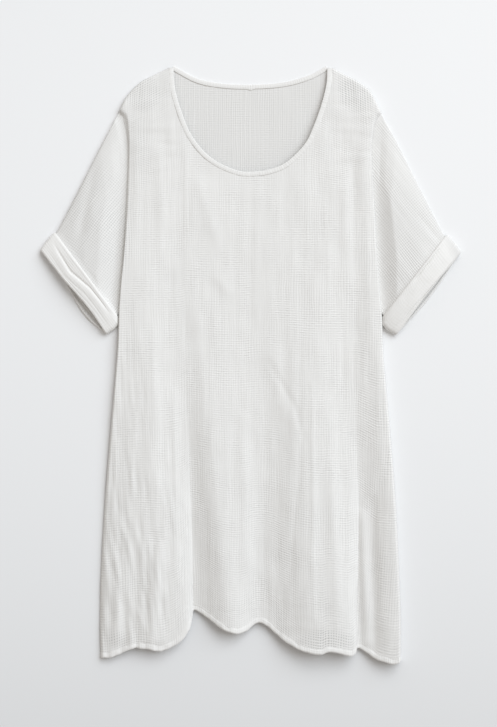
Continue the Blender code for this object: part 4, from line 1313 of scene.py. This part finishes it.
def gauze(kind):
    """Matt cotton: the weave's height paints shade into its low places and light onto its raised
    threads, its slow tone varies the colour, the height raises a slight relief, and gaps in painted
    shade show where the weave stands open."""
    name = "gauze_" + kind
    if name in bpy.data.materials:
        return bpy.data.materials[name]
    use = settings()
    *shares, relief, contrast, holes, warp, bright = CLOTHS[kind]
    material, n, shader = matt_material(name, roughness=0.9, specular=0.15)
    weave = n.group(
        "open_weave",
        (("Grain", "NodeSocketVector", None), ("Warp", "NodeSocketFloat", 0.0043),
         ("Weft", "NodeSocketFloat", 0.0036),
         *((label, "NodeSocketFloat", 0.5) for label in WEAVE_SHARES)),
        (("Height", "NodeSocketFloat"), ("Gaps", "NodeSocketFloat"), ("Tone", "NodeSocketFloat")),
        fill_weave, Grain=n.add("ShaderNodeUVMap", uv_map=GRAIN).outputs[0],
        Warp=use.warp * warp, Weft=use.weft, **dict(zip(WEAVE_SHARES, shares)))
    # Painted shade and light: the weave's height darkens the colour in its low places and lightens it on
    # its raised threads
    shade = n.math("MULTIPLY", weave["Height"], contrast)
    if kind == "front":
        shade = front_shade(n, shade)
    if kind == "sleeve":
        # Painted shade: the left sleeve darkens outwards, as it lies in shade
        painted_shade_left = n.math("MINIMUM", n.math("MULTIPLY", place_of(n)[0], 0.14), 0.0)
        shade = n.math("ADD", shade, painted_shade_left)
    if kind in ("sleeve", "cuff"):
        # Painted shade on the outer rims of the right sleeve and the cuff, which face the key light
        rims = n.group("rim_shade_mask", (), (("Rim", "NodeSocketFloat"),), fill_rim_shade_mask)
        shade = n.math("MULTIPLY_ADD", rims["Rim"], RIM_SHADE, shade)
    shade = n.math("MULTIPLY_ADD", weave["Tone"], TONE_SHARE, shade)
    # The kind's brightness; the back's lower one is painted shade, as it lies down inside the neck
    colour = n.tinted(tuple(part * bright for part in use.cotton), n.math("ADD", 1.0, shade))
    # Where the weave stands open its gaps take the hole colour: painted shade of what lies under them
    if holes > 0.0:
        opened = n.group("open_places", (("Strength", "NodeSocketFloat", 1.0),),
                         (("Open", "NodeSocketFloat"),), fill_open_places, Strength=holes)
        holed = n.add("ShaderNodeMix", data_type="RGBA")
        n.link(n.math("MULTIPLY", weave["Gaps"], opened["Open"]), holed.inputs[0])
        n.link(colour, holed.inputs[6])
        holed.inputs[7].default_value = (*use.shade, 1.0)
        colour = holed.outputs[2]
    n.link(colour, shader.inputs["Base Color"])
    bump = n.add("ShaderNodeBump")
    bump.inputs["Strength"].default_value = 1.0
    bump.inputs["Distance"].default_value = relief
    n.link(weave["Height"], bump.inputs["Height"])
    n.link(bump.outputs[0], shader.inputs["Normal"])
    return material


def add_light(name, kind, place, rotation, **values):
    """A lamp of the stage with its settings."""
    light = bpy.data.lights.new(name, kind)
    for key, value in values.items():
        setattr(light, key, value)
    lamp = bpy.data.objects.new(name, light)
    lamp.location = place
    lamp.rotation_euler = rotation
    bpy.context.scene.collection.objects.link(lamp)


def pale_surface():
    """Matt surface with painted light: brighter towards the neck by a quadratic of Y, and slowly to the
    right.
    """
    material, n, shader = matt_material("pale_surface", roughness=0.95, specular=0.05)
    place = place_of(n)
    painted_light_falloff = n.math("MULTIPLY_ADD", place[1], -0.20, 0.12)
    painted_light_falloff = n.math("MULTIPLY_ADD", place[1], painted_light_falloff, 1.012)
    painted_light_falloff = n.clamp(n.math("MULTIPLY_ADD", place[0], 0.05, painted_light_falloff), 0.8, 1.14)
    n.link(n.tinted(tuple(settings().floor), painted_light_falloff), shader.inputs["Base Color"])
    return material


class GAUZE_OT_stage(bpy.types.Operator):
    """Pale surface, soft light from the upper right and a camera straight above"""

    bl_idname = "gauze_dress.stage"
    bl_label = "Stage"

    def execute(self, context):
        use = settings()
        scene = context.scene
        scene.view_settings.view_transform = "Standard"
        scene.view_settings.look = "None"
        mesh = bpy.data.meshes.new("floor")
        corners = [(x * FLOOR_REACH, y * FLOOR_REACH, FLOOR_LEVEL)
                   for x, y in ((-1, -1), (1, -1), (1, 1), (-1, 1))]
        mesh.from_pydata(corners, [], [(0, 1, 2, 3)])
        mesh.materials.append(pale_surface())
        floor = bpy.data.objects.new("floor", mesh)
        scene.collection.objects.link(floor)

        world = bpy.data.worlds.new("soft_room")
        world.use_nodes = True
        background = world.node_tree.nodes["Background"]
        background.inputs["Color"].default_value = SKY_COLOUR
        background.inputs["Strength"].default_value = use.sky_light
        scene.world = world

        turn = math.radians(KEY_TURN)
        add_light(
            "key", "SUN",
            (KEY_DISTANCE * math.cos(turn), KEY_DISTANCE * math.sin(turn), KEY_DISTANCE),
            (0.0, math.pi / 2 - math.radians(KEY_RISE), turn),
            energy=use.key_light, angle=KEY_ANGLE, color=KEY_COLOUR)
        x, y, z = TOP_PLACE
        add_light(
            "top", "AREA", TOP_PLACE,
            (math.atan2(math.hypot(x, y), z), 0.0, math.atan2(-y, -x) - math.pi / 2),
            energy=use.top_light, shape="DISK", size=TOP_SIZE)

        lens = bpy.data.cameras.new("camera")
        lens.lens = LENS
        lens.sensor_width = SENSOR
        view_height = FRAME_HEIGHT * PIXEL * MM
        camera = bpy.data.objects.new("camera", lens)
        camera.location = (
            (AIM[0] - PLAN_CENTRE[0]) * MM, (AIM[1] - PLAN_CENTRE[1]) * MM,
            view_height * LENS / SENSOR + AIM[2] * MM)
        scene.collection.objects.link(camera)
        scene.camera = camera
        return {"FINISHED"}


class GAUZE_OT_declare(bpy.types.Operator):
    """Step that returns at once, doing nothing"""

    bl_idname = "gauze_dress.declare"
    bl_label = "Cloth cuts"

    def execute(self, context):
        return {"FINISHED"}


STEPS = (
    GAUZE_OT_stage, GAUZE_OT_back_panel, GAUZE_OT_front_panel, GAUZE_OT_sleeves, GAUZE_OT_cuffs,
    GAUZE_OT_neck_binding, GAUZE_OT_hems, GAUZE_OT_declare,
)


class GAUZE_PT_panel(bpy.types.Panel):
    """Lists the steps and the settings in the 3D view's sidebar"""

    bl_idname = "GAUZE_PT_panel"
    bl_label = "Gauze Dress"
    bl_space_type = "VIEW_3D"
    bl_region_type = "UI"
    bl_category = "Gauze Dress"

    def draw(self, context):
        for step in STEPS:
            self.layout.operator(step.bl_idname)
        for name in GauzeDressSettings.__annotations__:
            self.layout.prop(context.scene.gauze_dress, name)


CLASSES = (GauzeDressSettings, *STEPS, GAUZE_PT_panel)


def register():
    """Adds the settings, the steps and their panel."""
    for cls in CLASSES:
        bpy.utils.register_class(cls)
    bpy.types.Scene.gauze_dress = PointerProperty(type=GauzeDressSettings)


def unregister():
    """Takes them out again."""
    del bpy.types.Scene.gauze_dress
    for cls in reversed(CLASSES):
        bpy.utils.unregister_class(cls)


def main():
    """Runs all steps."""
    register()
    for step in STEPS:
        group, action = step.bl_idname.split(".")
        getattr(getattr(bpy.ops, group), action)()
    bpy.context.view_layer.update()


if __name__ == "__main__":
    main()
